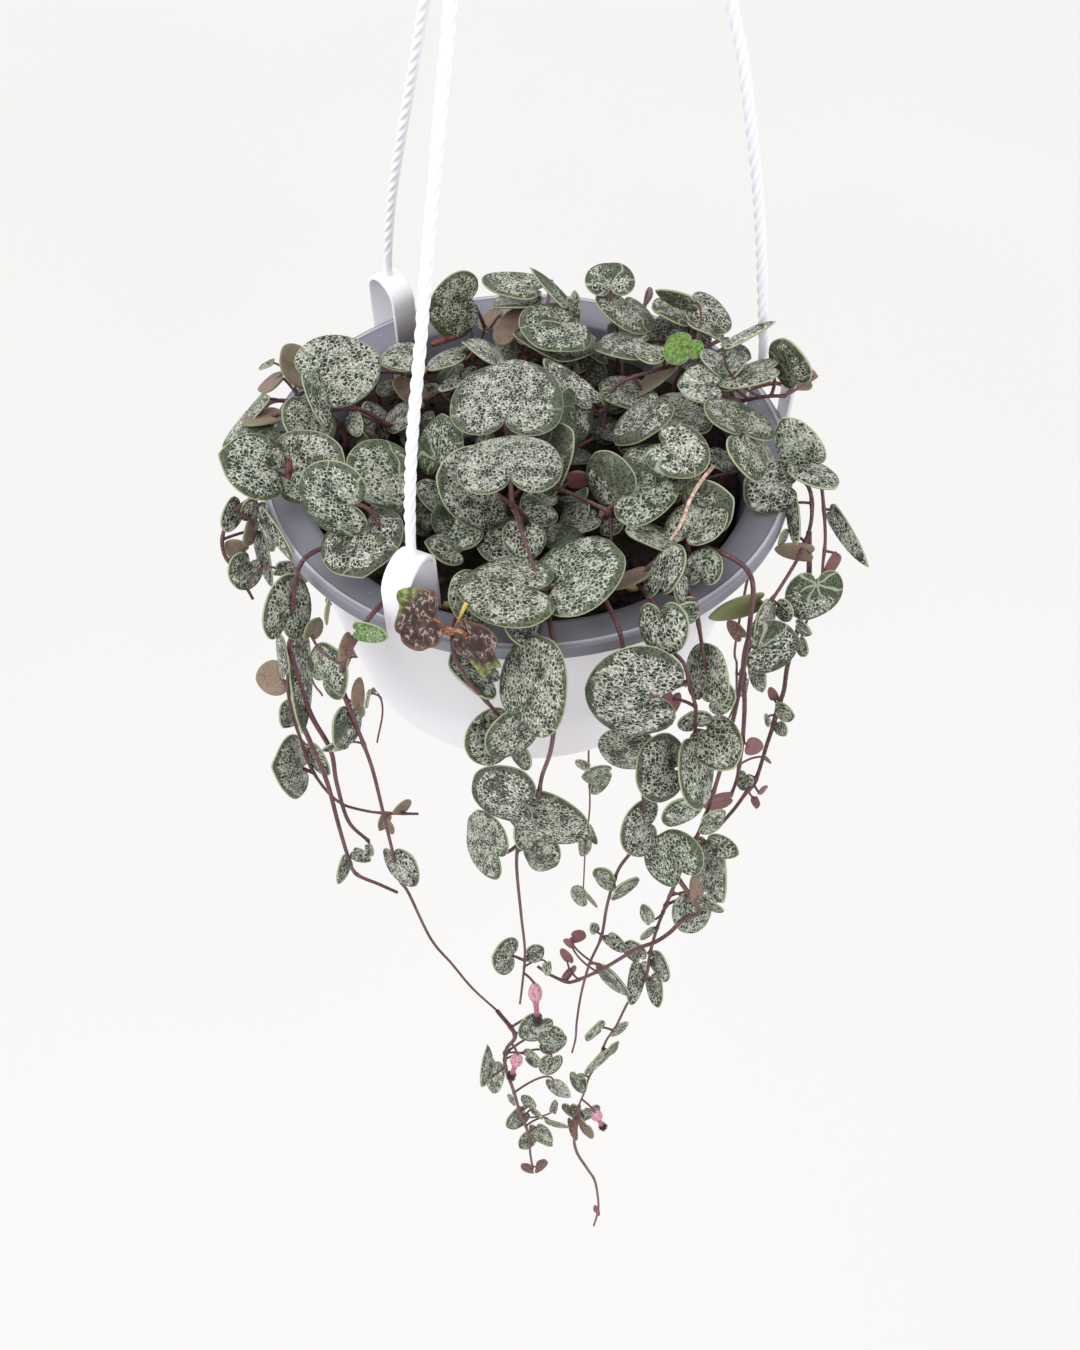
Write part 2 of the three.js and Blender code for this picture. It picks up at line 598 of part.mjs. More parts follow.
      [65.5, -58.5, -77, 4.5, 0, 130, 85, 0.6],
      [64, -59.5, -79, 4.5, -25, 25, 95, 0.6],
      [65, -50, -53, 3, -155, -155, 95, 1.45],
    ],
  },
  right_outer: {
    stem: [
      [62, -12, 3], [67, -15, 5], [71, -20, 4], [72, -24, 0], [71, -29, -3],
      [68, -35, -6], [65, -39, -9], [62, -43, -11], [60, -45, -13], [58, -48, -18],
      [56, -51, -23], [54, -54, -29],
    ],
    leaves: [
      [66.5, -23.5, 1, 6, -95, -175, 70, 2],
      [65, -29.5, -3, 6.5, -75, -35, 90, 0.55],
      [71, -33.5, -6, 5.5, 170, 80, 105, 1.55],
      [56.5, -46, -10, 10, -175, 105, 80, 1.25],
      [56.5, -56.5, -16, 14.5, 10, -75, 60, 0.75],
      [60, -48, -12, 14, -80, -30, 80, 0.65],
      [58.5, -52, -29, 9, -115, -160, 80],
      [63, -45, -14, 6.5, -55, -140, 80],
    ],
  },
  right_far: {
    stem: [
      [64, -2, 5], [72, -8, 6], [75, -15, 2], [76, -21, -3], [76, -28, -7],
      [75, -34, -10], [75, -37, -12],
    ],
    leaves: [
      [73, -38.5, -12, 15.5, -85, -80, 70],
      [78.5, -20, -5, 6.5, -75, -160, 80, 2.8],
      [79, -31, -10, 5, 180, 130, 105, 1.25],
      [69.5, -44, -22, 6, -50, -140, 100, 0.65],
      [71, -43, -30, 6.5, -90, -155, 85, 0.6],
    ],
  },
  knot: {
    stem: [
      [-12, -72, -192], [-6, -76, -203], [-9, -76, -215], [-10, -76, -228], [-9, -76, -241],
      [-7, -76, -258], [-5, -76, -279], [-2, -76, -302], [-1, -76, -330], [0, -76, -349],
    ],
    leaves: [
      [3, -76, -192, 13, -120, -65, 65],
      [6, -76, -201, 10, -65, -90, 65],
      [-1.5, -77.5, -220, 8.5, -15, -125, 75, 0.65],
      [7.5, -76, -226, 10, -95, -65, 65],
      [8.5, -70.5, -221, 11, -90, -70, 70],
      [-14, -71, -242, 10, -120, -145, 60, 1.25],
      [-16.5, -81, -233, 8, 120, -30, 75, 1.8],
      [8.5, -73, -257, 10.5, -75, -120, 80, 0.85],
      [-7.5, -73.5, -275, 6.5, 120, -135, 85, 0.6],
      [-4, -73, -290, 12, -135, -55, 70, 0.65],
      [-1.5, -74, -277, 7.5, 85, -125, 70, 0.65],
      [0, -73.5, -285, 9, -25, -130, 95, 0.6],
      [7, -74.5, -294, 10.5, -20, -110, 100, 0.75],
      [8.5, -74.5, -282, 6, 85, -25, 65],
      [2, -74.5, -303, 11.5, -75, -125, 70, 0.75],
      [4, -73.5, -319, 8, -50, -120, 90, 0.65],
      [-0.5, -71.5, -321, 9, -130, -60, 60, 0.75],
      [-1, -76.5, -347, 5.5, -175, -135, 75, 1.4],
      [2, -76.5, -345, 6, 10, -30, 70, 1.4],
    ],
  },
  tail: {
    stem: [
      [19, -71, -286], [18, -73, -315], [18, -72, -328], [20, -72, -343], [25, -71, -366],
      [29, -71, -384], [32, -70, -421], [32, -70, -440], [31, -70, -458],
    ],
    leaves: [
      [16, -73.5, -297, 6.5, -100, -150, 70, 1.25],
      [22, -76, -295, 10, 35, 40, 95, 0.75],
      [16, -68, -297, 11.5, -80, -120, 80, 0.65],
      [23.5, -68, -300, 11, -75, -65, 80],
      [31.5, -71, -432, 5, -160, 35, 105, 1],
    ],
  },
  right_thin: {
    stem: [
      [66, 20, 5], [71, 21, 2], [71, 21, -8], [70, 20, -98], [72, 20, -116], [74, 20, -135],
      [73, 20, -146],
    ],
    leaves: [
      [70.5, 17, -97, 6.5, 115, -130, 75, 1],
      [75, 17, -120, 9.5, -110, -25, 70],
    ],
  },
  back_right: {
    stem: [
      [36, 60, 5], [36, 70, -2], [34, 72, -40], [30, 70, -110],
      [27, 69, -180], [26, 68, -228], [27, 68, -256], [28, 68, -280], [27, 67, -316],
      [27, 66, -344], [27, 66, -362],
    ],
    leaves: [
      [26, 66, -243, 6, 155, -125, 75, 1.2],
      [34, 67, -250, 15, -170, -80, 90],
      [34, 73, -261, 14, -95, -45, 80],
      [27, 70, -309, 14, -75, -25, 70],
      [28, 74, -306, 7, -80, -140, 75, 1.4],
      [27, 63, -355, 12, 165, -135, 65],
      [29, 74, -371, 9, -75, 35, 80, 1.4],
      [38, 74, -30, 18, 60, 60, 80],
      [30, 76, -36, 16, -130, 110, 75],
      [34, 75, -85, 17, 160, 80, 80],
      [28, 74, -92, 15, -60, 100, 85],
      [27, 74, -150, 14, 40, 70, 80],
      [25, 73, -158, 13, -150, 105, 80],
    ],
  },
};

// Side shoots, each one piece with the vine that it grows from.
const SHOOTS = {
  left_outer: ["left_thin", "left_thread"],
  left_long: ["knot"],
  right_mid: ["runner", "tail"],
  right_outer: ["right_a", "right_b"],
};

// Vines on the side away from the front, made by rule: a stem from the soil over the rim that then
// hangs with a slight sway, with pairs of leaves that grow smaller towards its tip.
const RULED_VINES = {
  back_a: { azimuth: 36, hang: 130, seed: 11 },
  back_b: { azimuth: 84, hang: 200, seed: 23 },
  back_c: { azimuth: 108, hang: 120, seed: 37 },
  back_d: { azimuth: 146, hang: 190, seed: 53 },
  back_e: { azimuth: 168, hang: 110, seed: 71 },
};
const LEAF_SPACING = 32;

function ruledVine({ azimuth, hang, seed }) {
  const draw = stream(seed);
  const point = (r, z, turn = 0) => [
    r * Math.cos(rad(azimuth + turn)),
    r * Math.sin(rad(azimuth + turn)),
    z,
  ];
  const stem = [point(67, 5), point(73, 1), point(74, -10)];
  const leaves = [];
  const pairs = Math.floor(hang / LEAF_SPACING);
  for (let i = 1; i <= pairs; i++) {
    const z = -10 - i * LEAF_SPACING;
    const turn = 5 * (draw() - 0.5) * Math.sqrt(i);
    stem.push(point(74, z, turn));
    const width = 17 - (9 * i) / pairs + 3 * draw();
    const reach = (2 + 2 * draw()) / 74;
    for (const side of [-1, 1]) {
      const base = point(78.5, z + 2 + 4 * draw(), turn + side * THREE.MathUtils.radToDeg(reach));
      const face = azimuth + side * (15 + 30 * draw());
      const tip = azimuth + side * (50 + 60 * draw());
      leaves.push([...base, width, tip, face, 70 + 20 * draw()]);
    }
  }
  stem.push(point(74, -10 - (pairs + 0.6) * LEAF_SPACING));
  return { stem, leaves };
}

// Two leaves that wither on one dried stalk over the front of the rim.
const WITHERED = {
  stem: [[-17, -70, 6], [-19, -72, 8.5], [-18, -73, 11], [-14, -75, 12]],
  leaves: [
    [-21.5, -72, 13, 14, 165, -130, 55, 0.85],
    [-14, -75.5, 11, 12, -50, -130, 75, 1],
  ],
};

// Each lantern flower hangs on a short stalk from one of the vines: its bulb and its tip.
const FLOWERS = {
  upper: { vine: "front", bulb: [1, -78, -158], tip: [2, -82, -182] },
  middle: { vine: "knot", bulb: [-5, -80, -211], tip: [-8, -83, -226] },
  lower: { vine: "right_mid", bulb: [25, -76, -279], tip: [29, -79, -290] },
};
const FLOWER_PROFILE = [
  [0, 0], [2, 0.08], [2.5, 0.2], [1.1, 0.4], [0.9, 0.65], [1.5, 0.84], [1.2, 0.95], [0, 1],
];
const FLOWER_SIDES = 7;

function flower({ vine, bulb, tip }) {
  const carrier = straightened(VINES[vine].stem.map(([x, y, z]) => V(x, y, z)), SLACK);
  const neck = V(...bulb);
  const end = V(...tip);
  const length = neck.distanceTo(end);
  const profile = FLOWER_PROFILE.map(([r, t]) => [r, -t * length]).reverse();
  const body = lathe(profile, FLOWER_SIDES);
  const down = end.clone().sub(neck).normalize();
  const turn = new THREE.Quaternion().setFromUnitVectors(V(0, 0, -1), down);
  body.applyQuaternion(turn).translate(neck.x, neck.y, neck.z);
  const joint = nearestOn([carrier], neck);
  const away = neck.clone().sub(joint).normalize();
  const start = joint.addScaledVector(away, 0.75 * STEM_R + SEAT);
  const sunk = neck.clone().addScaledVector(down, 0.15 * length);
  return fused([solidOf(body), tube([start, neck, sunk], 0.5, 0.5, 3)]);
}

// ---- pot, soil and hanger -----------------------------------------------------------------------
function growPot() {
  const w = GROW_WALL;
  const shell = lathe(
    [
      [0, GROW_FLOOR_Z - w], [GROW_FLOOR_R, GROW_FLOOR_Z - w], [RIM_INNER_R - w * 0.2, -RIM_LIP],
      [RIM_R, -RIM_LIP], [RIM_R, -0.8], [RIM_R - 0.8, 0], [RIM_INNER_R + 1, -0.9],
      [RIM_INNER_R - 0.5, -2], [RIM_INNER_R - 1.4, -5], [GROW_FLOOR_R - w, GROW_FLOOR_Z],
      [0, GROW_FLOOR_Z],
    ],
    POT_SIDES,
  );
  let solid = solidOf(shell);
  for (let i = 0; i < DRAINS; i++) {
    const a = (2 * Math.PI * i) / DRAINS;
    const hole = new THREE.CylinderGeometry(DRAIN_R, DRAIN_R, 4 * w, 8).rotateX(Math.PI / 2);
    hole.translate(DRAIN_CIRCLE_R * Math.cos(a), DRAIN_CIRCLE_R * Math.sin(a), GROW_FLOOR_Z - w / 2);
    solid = solid.subtract(solidOf(hole));
  }
  return solid;
}

function bowl() {
  const w = BOWL_WALL;
  const top = -RIM_LIP - 0.3 - SEAT;
  const profile = [
    [0, -BOWL_H + 1.5], [BOWL_BASE_R - 14, -BOWL_H + 1.5], [BOWL_BASE_R - 13, -BOWL_H],
    [BOWL_BASE_R - 6, -BOWL_H], [BOWL_BASE_R - 1, -BOWL_H + 3], [BOWL_BASE_R + 2, -BOWL_H + 9],
    [BOWL_TOP_R, top - 3.2], [BOWL_LIP_R, top - 1.8], [BOWL_LIP_R, top], [BOWL_TOP_R - w, top],
    [BOWL_BASE_R + 1 - w, -BOWL_H + 10], [BOWL_BASE_R - 3 - w, -BOWL_H + 4],
    [0, -BOWL_H + 3.7],
  ];
  return solidOf(lathe(profile, POT_SIDES));
}

// Where each stem stands in the soil; each hole is plain, and a little wider than its stem.
const HOLE_R = 2.2;
const CROWN_HOLE_R = 7;
const SOIL_RINGS = 4;
const SOIL_SPOKES = 20;

function pottingMix(stemFeet) {
  const draw = stream(5);
  const points = [V(0, 0, SOIL_Z)];
  const faces = [];
  const radiusAt = (z) =>
    GROW_FLOOR_R - GROW_WALL - SEAT +
    ((z - GROW_FLOOR_Z) / (-5 - GROW_FLOOR_Z)) * (RIM_INNER_R - 1.4 - GROW_FLOOR_R + GROW_WALL) - 0.6;
  const rimR = radiusAt(SOIL_Z - 2);
  for (let i = 1; i <= SOIL_RINGS; i++)
    for (let k = 0; k < SOIL_SPOKES; k++) {
      const a = (2 * Math.PI * (k + (i % 2) / 2)) / SOIL_SPOKES;
      const r = (rimR * i) / SOIL_RINGS;
      const z = i === SOIL_RINGS ? SOIL_Z - 1.5 : SOIL_Z + 2.6 * (draw() - 0.5);
      points.push(V(r * Math.cos(a), r * Math.sin(a), z));
    }
  const ring = (i, k) => 1 + (i - 1) * SOIL_SPOKES + ((k + SOIL_SPOKES) % SOIL_SPOKES);
  for (let k = 0; k < SOIL_SPOKES; k++) faces.push([0, ring(1, k), ring(1, k + 1)]);
  for (let i = 1; i < SOIL_RINGS; i++)
    for (let k = 0; k < SOIL_SPOKES; k++) {
      const odd = i % 2;
      faces.push([ring(i, k), ring(i + 1, k + odd), ring(i, k + 1)]);
      faces.push([ring(i, k), ring(i + 1, k - 1 + odd), ring(i + 1, k + odd)]);
    }
  const foot = points.length;
  const footZ = GROW_FLOOR_Z + SEAT;
  const footR = radiusAt(GROW_FLOOR_Z) - 0.4;
  for (let k = 0; k < SOIL_SPOKES; k++) {
    const a = (2 * Math.PI * (k + (SOIL_RINGS % 2) / 2)) / SOIL_SPOKES;
    points.push(V(footR * Math.cos(a), footR * Math.sin(a), footZ));
  }
  points.push(V(0, 0, footZ));
  for (let k = 0; k < SOIL_SPOKES; k++) {
    const next = (k + 1) % SOIL_SPOKES;
    faces.push([ring(SOIL_RINGS, k), foot + k, foot + next]);
    faces.push([ring(SOIL_RINGS, k), foot + next, ring(SOIL_RINGS, next)]);
    faces.push([foot + SOIL_SPOKES, foot + next, foot + k]);
  }
  let solid = solidFrom(points, faces);
  const hole = (x, y, r, depth) =>
    solidOf(
      new THREE.CylinderGeometry(r, r, depth * 2, 5).rotateX(Math.PI / 2).translate(x, y, SOIL_Z),
    );
  solid = solid.subtract(hole(ROOT_CROWN[0], ROOT_CROWN[1], CROWN_HOLE_R, 14));
  for (const [x, y] of stemFeet) solid = solid.subtract(hole(x, y, HOLE_R, 6));
  return solid;
}

// The clip is one bent strip over the rim; its outer leg carries a toe under the rim's edge.
function clipOutline() {
  const inner = RIM_INNER_R - 1.2;
  const outer = RIM_R + 0.4;
  const t = CLIP_THICK;
  const middle = (inner + outer) / 2;
  const span = (outer - inner) / 2;
  const z = CLIP_SHOULDER_Z;
  const shape = new THREE.Shape();
  shape.moveTo(outer, z);
  shape.lineTo(outer, -4.6);
  shape.lineTo(RIM_R - 1.2, -4.6);
  shape.lineTo(RIM_R - 1.2, -5.2);
  shape.lineTo(outer, -6.2);
  shape.lineTo(outer + t, -6.2);
  shape.lineTo(outer + t, z);
  shape.absellipse(middle, z, span + t, CLIP_ARCH + t, 0, Math.PI, false, 0);
  shape.lineTo(inner - t - 0.7, -3.5);
  shape.lineTo(inner - 0.7, -3.5);
  shape.lineTo(inner, z);
  shape.absellipse(middle, z, span, CLIP_ARCH, Math.PI, 0, true, 0);
  return shape;
}

// Where each arm stands on the rim, and its height above the rim and distance from the pot's axis.
const ARMS = {
  right: {
    azimuth: 11,
    curve: [
      [17, 62.6], [24, 61.8], [33, 60.4], [48, 57.9], [62, 55.3], [75, 52.4], [87, 49.4],
      [99, 46.2], [110, 42.4], [125, 37], [150, 27.5], [175, 17.5], [200, 8], [216, 4.4],
    ],
  },
  back_left: {
    azimuth: 126.5,
    curve: [
      [17, 65.2], [24, 64.2], [33, 62.3], [48, 57.7], [63, 51.9], [77, 46.2], [90, 41],
      [102, 36.2], [125, 27], [150, 18.5], [175, 11.5], [200, 6.4], [216, 4.4],
    ],
  },
  front_left: {
    azimuth: 245,
    curve: [
      [17, 62.7], [24, 62], [33, 60.8], [48, 57.2], [66, 51], [79, 46.7], [96, 40.8],
      [111, 35.5], [125, 30.4], [150, 21.5], [175, 13], [200, 6.8], [216, 4.4],
    ],
  },
};

function arm({ azimuth, curve: listed }) {
  const shape = clipOutline();
  const strip = new THREE.ExtrudeGeometry(shape, {
    depth: CLIP_BREADTH,
    bevelEnabled: false,
    curveSegments: 5,
  });
  // the outline is drawn as distance from the axis against height, then stood up
  strip.translate(0, 0, -CLIP_BREADTH / 2).rotateX(Math.PI / 2);
  const curve = new THREE.CatmullRomCurve3(listed.map(([z, r]) => V(r, 0, z)));
  const length = curve.getLength();
  const steps = Math.round((length / TWIST_PITCH) * 8);
  const points = curve.getSpacedPoints(steps);
  const strand = twistedBar(points, STRAND_R, Math.PI / 4);
  const tab = new THREE.BoxGeometry(2.6, 3, 4).translate(listed[0][1], 0, listed[0][0] + 1);
  return fused([solidOf(strip), strand, solidOf(tab)]).rotate([0, 0, azimuth]);
}

// A four-lobed bar whose section turns by one step at each point.
function twistedBar(points, r, step) {
  const verts = [];
  const faces = [];
  points.forEach((p, i) => {
    const next = points[Math.min(i + 1, points.length - 1)];
    const before = points[Math.max(i - 1, 0)];
    const along = next.clone().sub(before).normalize();
    const across = V(0, 1, 0);
    const other = along.clone().cross(across);
    for (let k = 0; k < 4; k++) {
      const a = (k * Math.PI) / 2 + i * step;
      verts.push(
        p.clone().addScaledVector(across, r * Math.cos(a)).addScaledVector(other, r * Math.sin(a)),
      );
    }
  });
  for (let i = 0; i + 1 < points.length; i++)
    for (let k = 0; k < 4; k++) {
      const a = i * 4 + k;
      const b = i * 4 + ((k + 1) % 4);
      faces.push([a, b, a + 4], [b, b + 4, a + 4]);
    }
  const last = (points.length - 1) * 4;
  faces.push([0, 2, 1], [0, 3, 2], [last, last + 1, last + 2], [last, last + 2, last + 3]);
  const solid = solidFrom(verts, faces);
  return solid.volume() < 0 ? solidFrom(verts, faces.map(([a, b, c]) => [a, c, b])) : solid;
}

// The hook: a round wire bow on a neck, with the hub that the arms' ends meet under.
function hook() {
  const bowZ = -(HOOK_R - HOOK_WIRE_R);
  const points = [];
  for (let deg = -90; deg <= 195; deg += 19)
    points.push(V(HOOK_R * Math.cos(rad(deg)), 0, bowZ + HOOK_R * Math.sin(rad(deg))));
  points.unshift(V(-2, 0, bowZ - HOOK_R - 1.2), V(0, 0, bowZ - HOOK_R - 8));
  points.shift();
  points[0] = V(-1.5, 0, bowZ - HOOK_R - 4);
  points.unshift(V(0, 0, bowZ - HOOK_R - 9));
  const bow = tube(points, HOOK_WIRE_R, HOOK_WIRE_R, 8);
  const hub = lathe(
    [[0, -33.6], [7.6, -33.6], [8, -32.8], [7, -30], [3.4, -26], [2.8, -22], [0, -21]],
    16,
  );
  return fused([bow, solidOf(hub)]);
}

// ---- the assembly -------------------------------------------------------------------------------
const LOOKS = {
  white: { color: 0xf1eff4, roughness: 0.38 },
  grey: { color: 0x7c7d88, roughness: 0.5 },
  soil: { color: 0x1d1715, roughness: 0.95 },
  leaf: { color: 0x8b9c84, roughness: 0.5 },
  withered: { color: 0x5a3b2c, roughness: 0.7 },
  flower: { color: 0xd08aa0, roughness: 0.5 },
};

const plant = new THREE.Group();
plant.name = "string_of_hearts";

function place(name, solid, look, drop = -RIM_DROP) {
  const material = new THREE.MeshStandardMaterial({ ...LOOKS[look], metalness: 0 });
  const mesh = new THREE.Mesh(geometryOf(solid), material);
  mesh.name = name;
  mesh.position.z = drop;
  plant.add(mesh);
}

const vines = { ...VINES };
for (const [name, rule] of Object.entries(RULED_VINES)) vines[name] = ruledVine(rule);
const shoots = new Set(Object.values(SHOOTS).flat());
const standing = Object.keys(vines).filter((name) => !shoots.has(name));
const feet = standing.map((name) => rooted(vines[name].stem)[0]);

place("bowl", bowl(), "white");
place("grow_pot", growPot(), "grey");
place("potting_mix", pottingMix(feet), "soil");
for (const [name, spec] of Object.entries(ARMS)) place("hanger_arm_" + name, arm(spec), "white");
place("hanger_hook", hook(), "white", 0);

const [rootX, rootY] = ROOT_CROWN;
const stub = tube([V(rootX, rootY, SOIL_Z - 11), V(rootX, rootY, SOIL_Z + 4)], 5, 4, 6);
const broad = CROWN.filter((row) => row[3] >= SMALLEST_CROWN_LEAF);
place("crown_foliage", fused([stub, ...foliage(CREEPERS, broad)]), "leaf");

for (const name of standing) {
  const pieces = foliage([rooted(vines[name].stem)], vines[name].leaves);
  for (const shoot of SHOOTS[name] ?? [])
    pieces.push(...foliage([vines[shoot].stem], vines[shoot].leaves, STEM_R * 0.8));
  place("vine_" + name, fused(pieces), "leaf");
}
place("withered_leaves", fused(foliage([WITHERED.stem], WITHERED.leaves)), "withered");
for (const [name, spec] of Object.entries(FLOWERS))
  place("flower_" + name, flower(spec), "flower");

export default plant;
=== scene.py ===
"""String of hearts (Ceropegia) growing in a hanging pot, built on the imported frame.

Lists are in millimetres from the middle of the pot's rim, and Blender's space is in metres from
the point inside the hook that carries everything.
"""

import math
import random

import bmesh
import bpy
import numpy as np
from mathutils import Matrix, Vector, noise


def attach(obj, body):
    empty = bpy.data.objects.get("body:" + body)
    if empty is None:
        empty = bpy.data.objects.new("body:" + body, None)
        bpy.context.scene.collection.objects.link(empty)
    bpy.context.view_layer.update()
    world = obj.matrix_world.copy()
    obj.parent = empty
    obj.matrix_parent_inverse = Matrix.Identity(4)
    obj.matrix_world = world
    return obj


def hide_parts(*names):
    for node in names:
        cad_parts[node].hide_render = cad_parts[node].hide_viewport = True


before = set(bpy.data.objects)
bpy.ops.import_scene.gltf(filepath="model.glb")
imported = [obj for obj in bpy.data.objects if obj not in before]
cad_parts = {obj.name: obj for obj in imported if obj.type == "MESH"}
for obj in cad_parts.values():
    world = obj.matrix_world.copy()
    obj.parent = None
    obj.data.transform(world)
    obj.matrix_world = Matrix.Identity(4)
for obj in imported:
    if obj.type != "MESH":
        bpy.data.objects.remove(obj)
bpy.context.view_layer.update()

# ---- sizes, in millimetres ---------------------------------------------------------------------
MM = 0.001
RIM_DROP = 250  # rim plane below the point that bears on the ceiling hook
RIM_R = 70
RIM_INNER_R = 60
RIM_LIP = 4
GROW_WALL = 1.4
GROW_FLOOR_Z = -60
GROW_FLOOR_R = 49
BOWL_LIP_R = 68.3
BOWL_TOP_R = 64
BOWL_BASE_R = 52
BOWL_H = 70
BOWL_WALL = 2.2
SOIL_Z = -9
SOIL_R = 56.5
SOIL_FOOT_R = 46.5
CRUMBS = 900
SEAT = 0.3
STRAND_R = 1.18
STRAND_SIDES = 32
STRAND_LOBES = 4
LOBE_DEPTH = 0.17  # how far the lobes stand out, as a share of the strand's radius
TWIST_PITCH = 14  # one full turn of the four-lobed strand
CLIP_BREADTH = 7
CLIP_SHOULDER_Z = 12.3  # where the clip's legs start to bend over the rim
CLIP_ARCH = 4.8  # inner height of that bend
CLIP_THICK = 1.2
HOOK_R = 11
HOOK_WIRE_R = 2.5
BLADE_THICK = 1.3
STEM_R = 0.64
STEM_FOOT_R = 51
BODY = "root"

# ---- the plant's lists -------------------------------------------------------------------------
# A leaf row is [x, y, z, width, tip, face, lean, length]: where the blade meets its petiole, the
# blade's width, the azimuth of its tip as drawn flat, then the azimuth that it is leaned towards by
# "lean" degrees. The length from notch to tip, in widths, is 0.7 where it isn't given.
# The creeping stems that lie among the leaves on the pot, and join at the root crown in the middle.
ROOT_CROWN = [0, -4, -8]
CREEPERS = [
  [ROOT_CROWN, [-18, 2, -4], [-36, 8, 0], [-50, 12, 4], [-60, 10, 5]],
  [ROOT_CROWN, [-20, -12, -4], [-38, -20, 1], [-52, -16, 5], [-58, 0, 6]],
  [ROOT_CROWN, [-10, -24, -4], [-22, -40, 0], [-34, -44, 2]],
  [ROOT_CROWN, [2, -26, -4], [-4, -46, 0], [-6, -57, 5]],
  [ROOT_CROWN, [18, -22, -5], [34, -36, -1], [42, -44, 2]],
  [ROOT_CROWN, [22, -8, -4], [42, -14, 1], [58, -14, 5], [64, -20, 7]],
  [ROOT_CROWN, [20, 10, -4], [40, 13, 2], [53, 8, 8], [61, 2, 15], [66, 1, 16]],
  [ROOT_CROWN, [10, 20, -4], [22, 38, 2], [38, 38, 6], [48, 30, 8]],
  [ROOT_CROWN, [-6, 22, -4], [0, 40, 2], [-12, 46, 5]],
  [ROOT_CROWN, [-18, 20, -4], [-34, 30, 1], [-52, 24, 5], [-62, 16, 5]],
  [[-36, 8, 0], [-44, 4, 10], [-54, 2, 12], [-52, 12, 15]],
  [[2, -26, -4], [-4, -34, 12], [-3, -42, 16], [0, -52, 14], [2, -58, 11]],
  [[18, -22, -5], [20, -30, 5], [10, -26, 8], [0, -20, 8], [-4, -14, 14]],
  [[20, 10, -4], [24, 18, 6], [40, 20, 12], [46, 28, 13]],
]

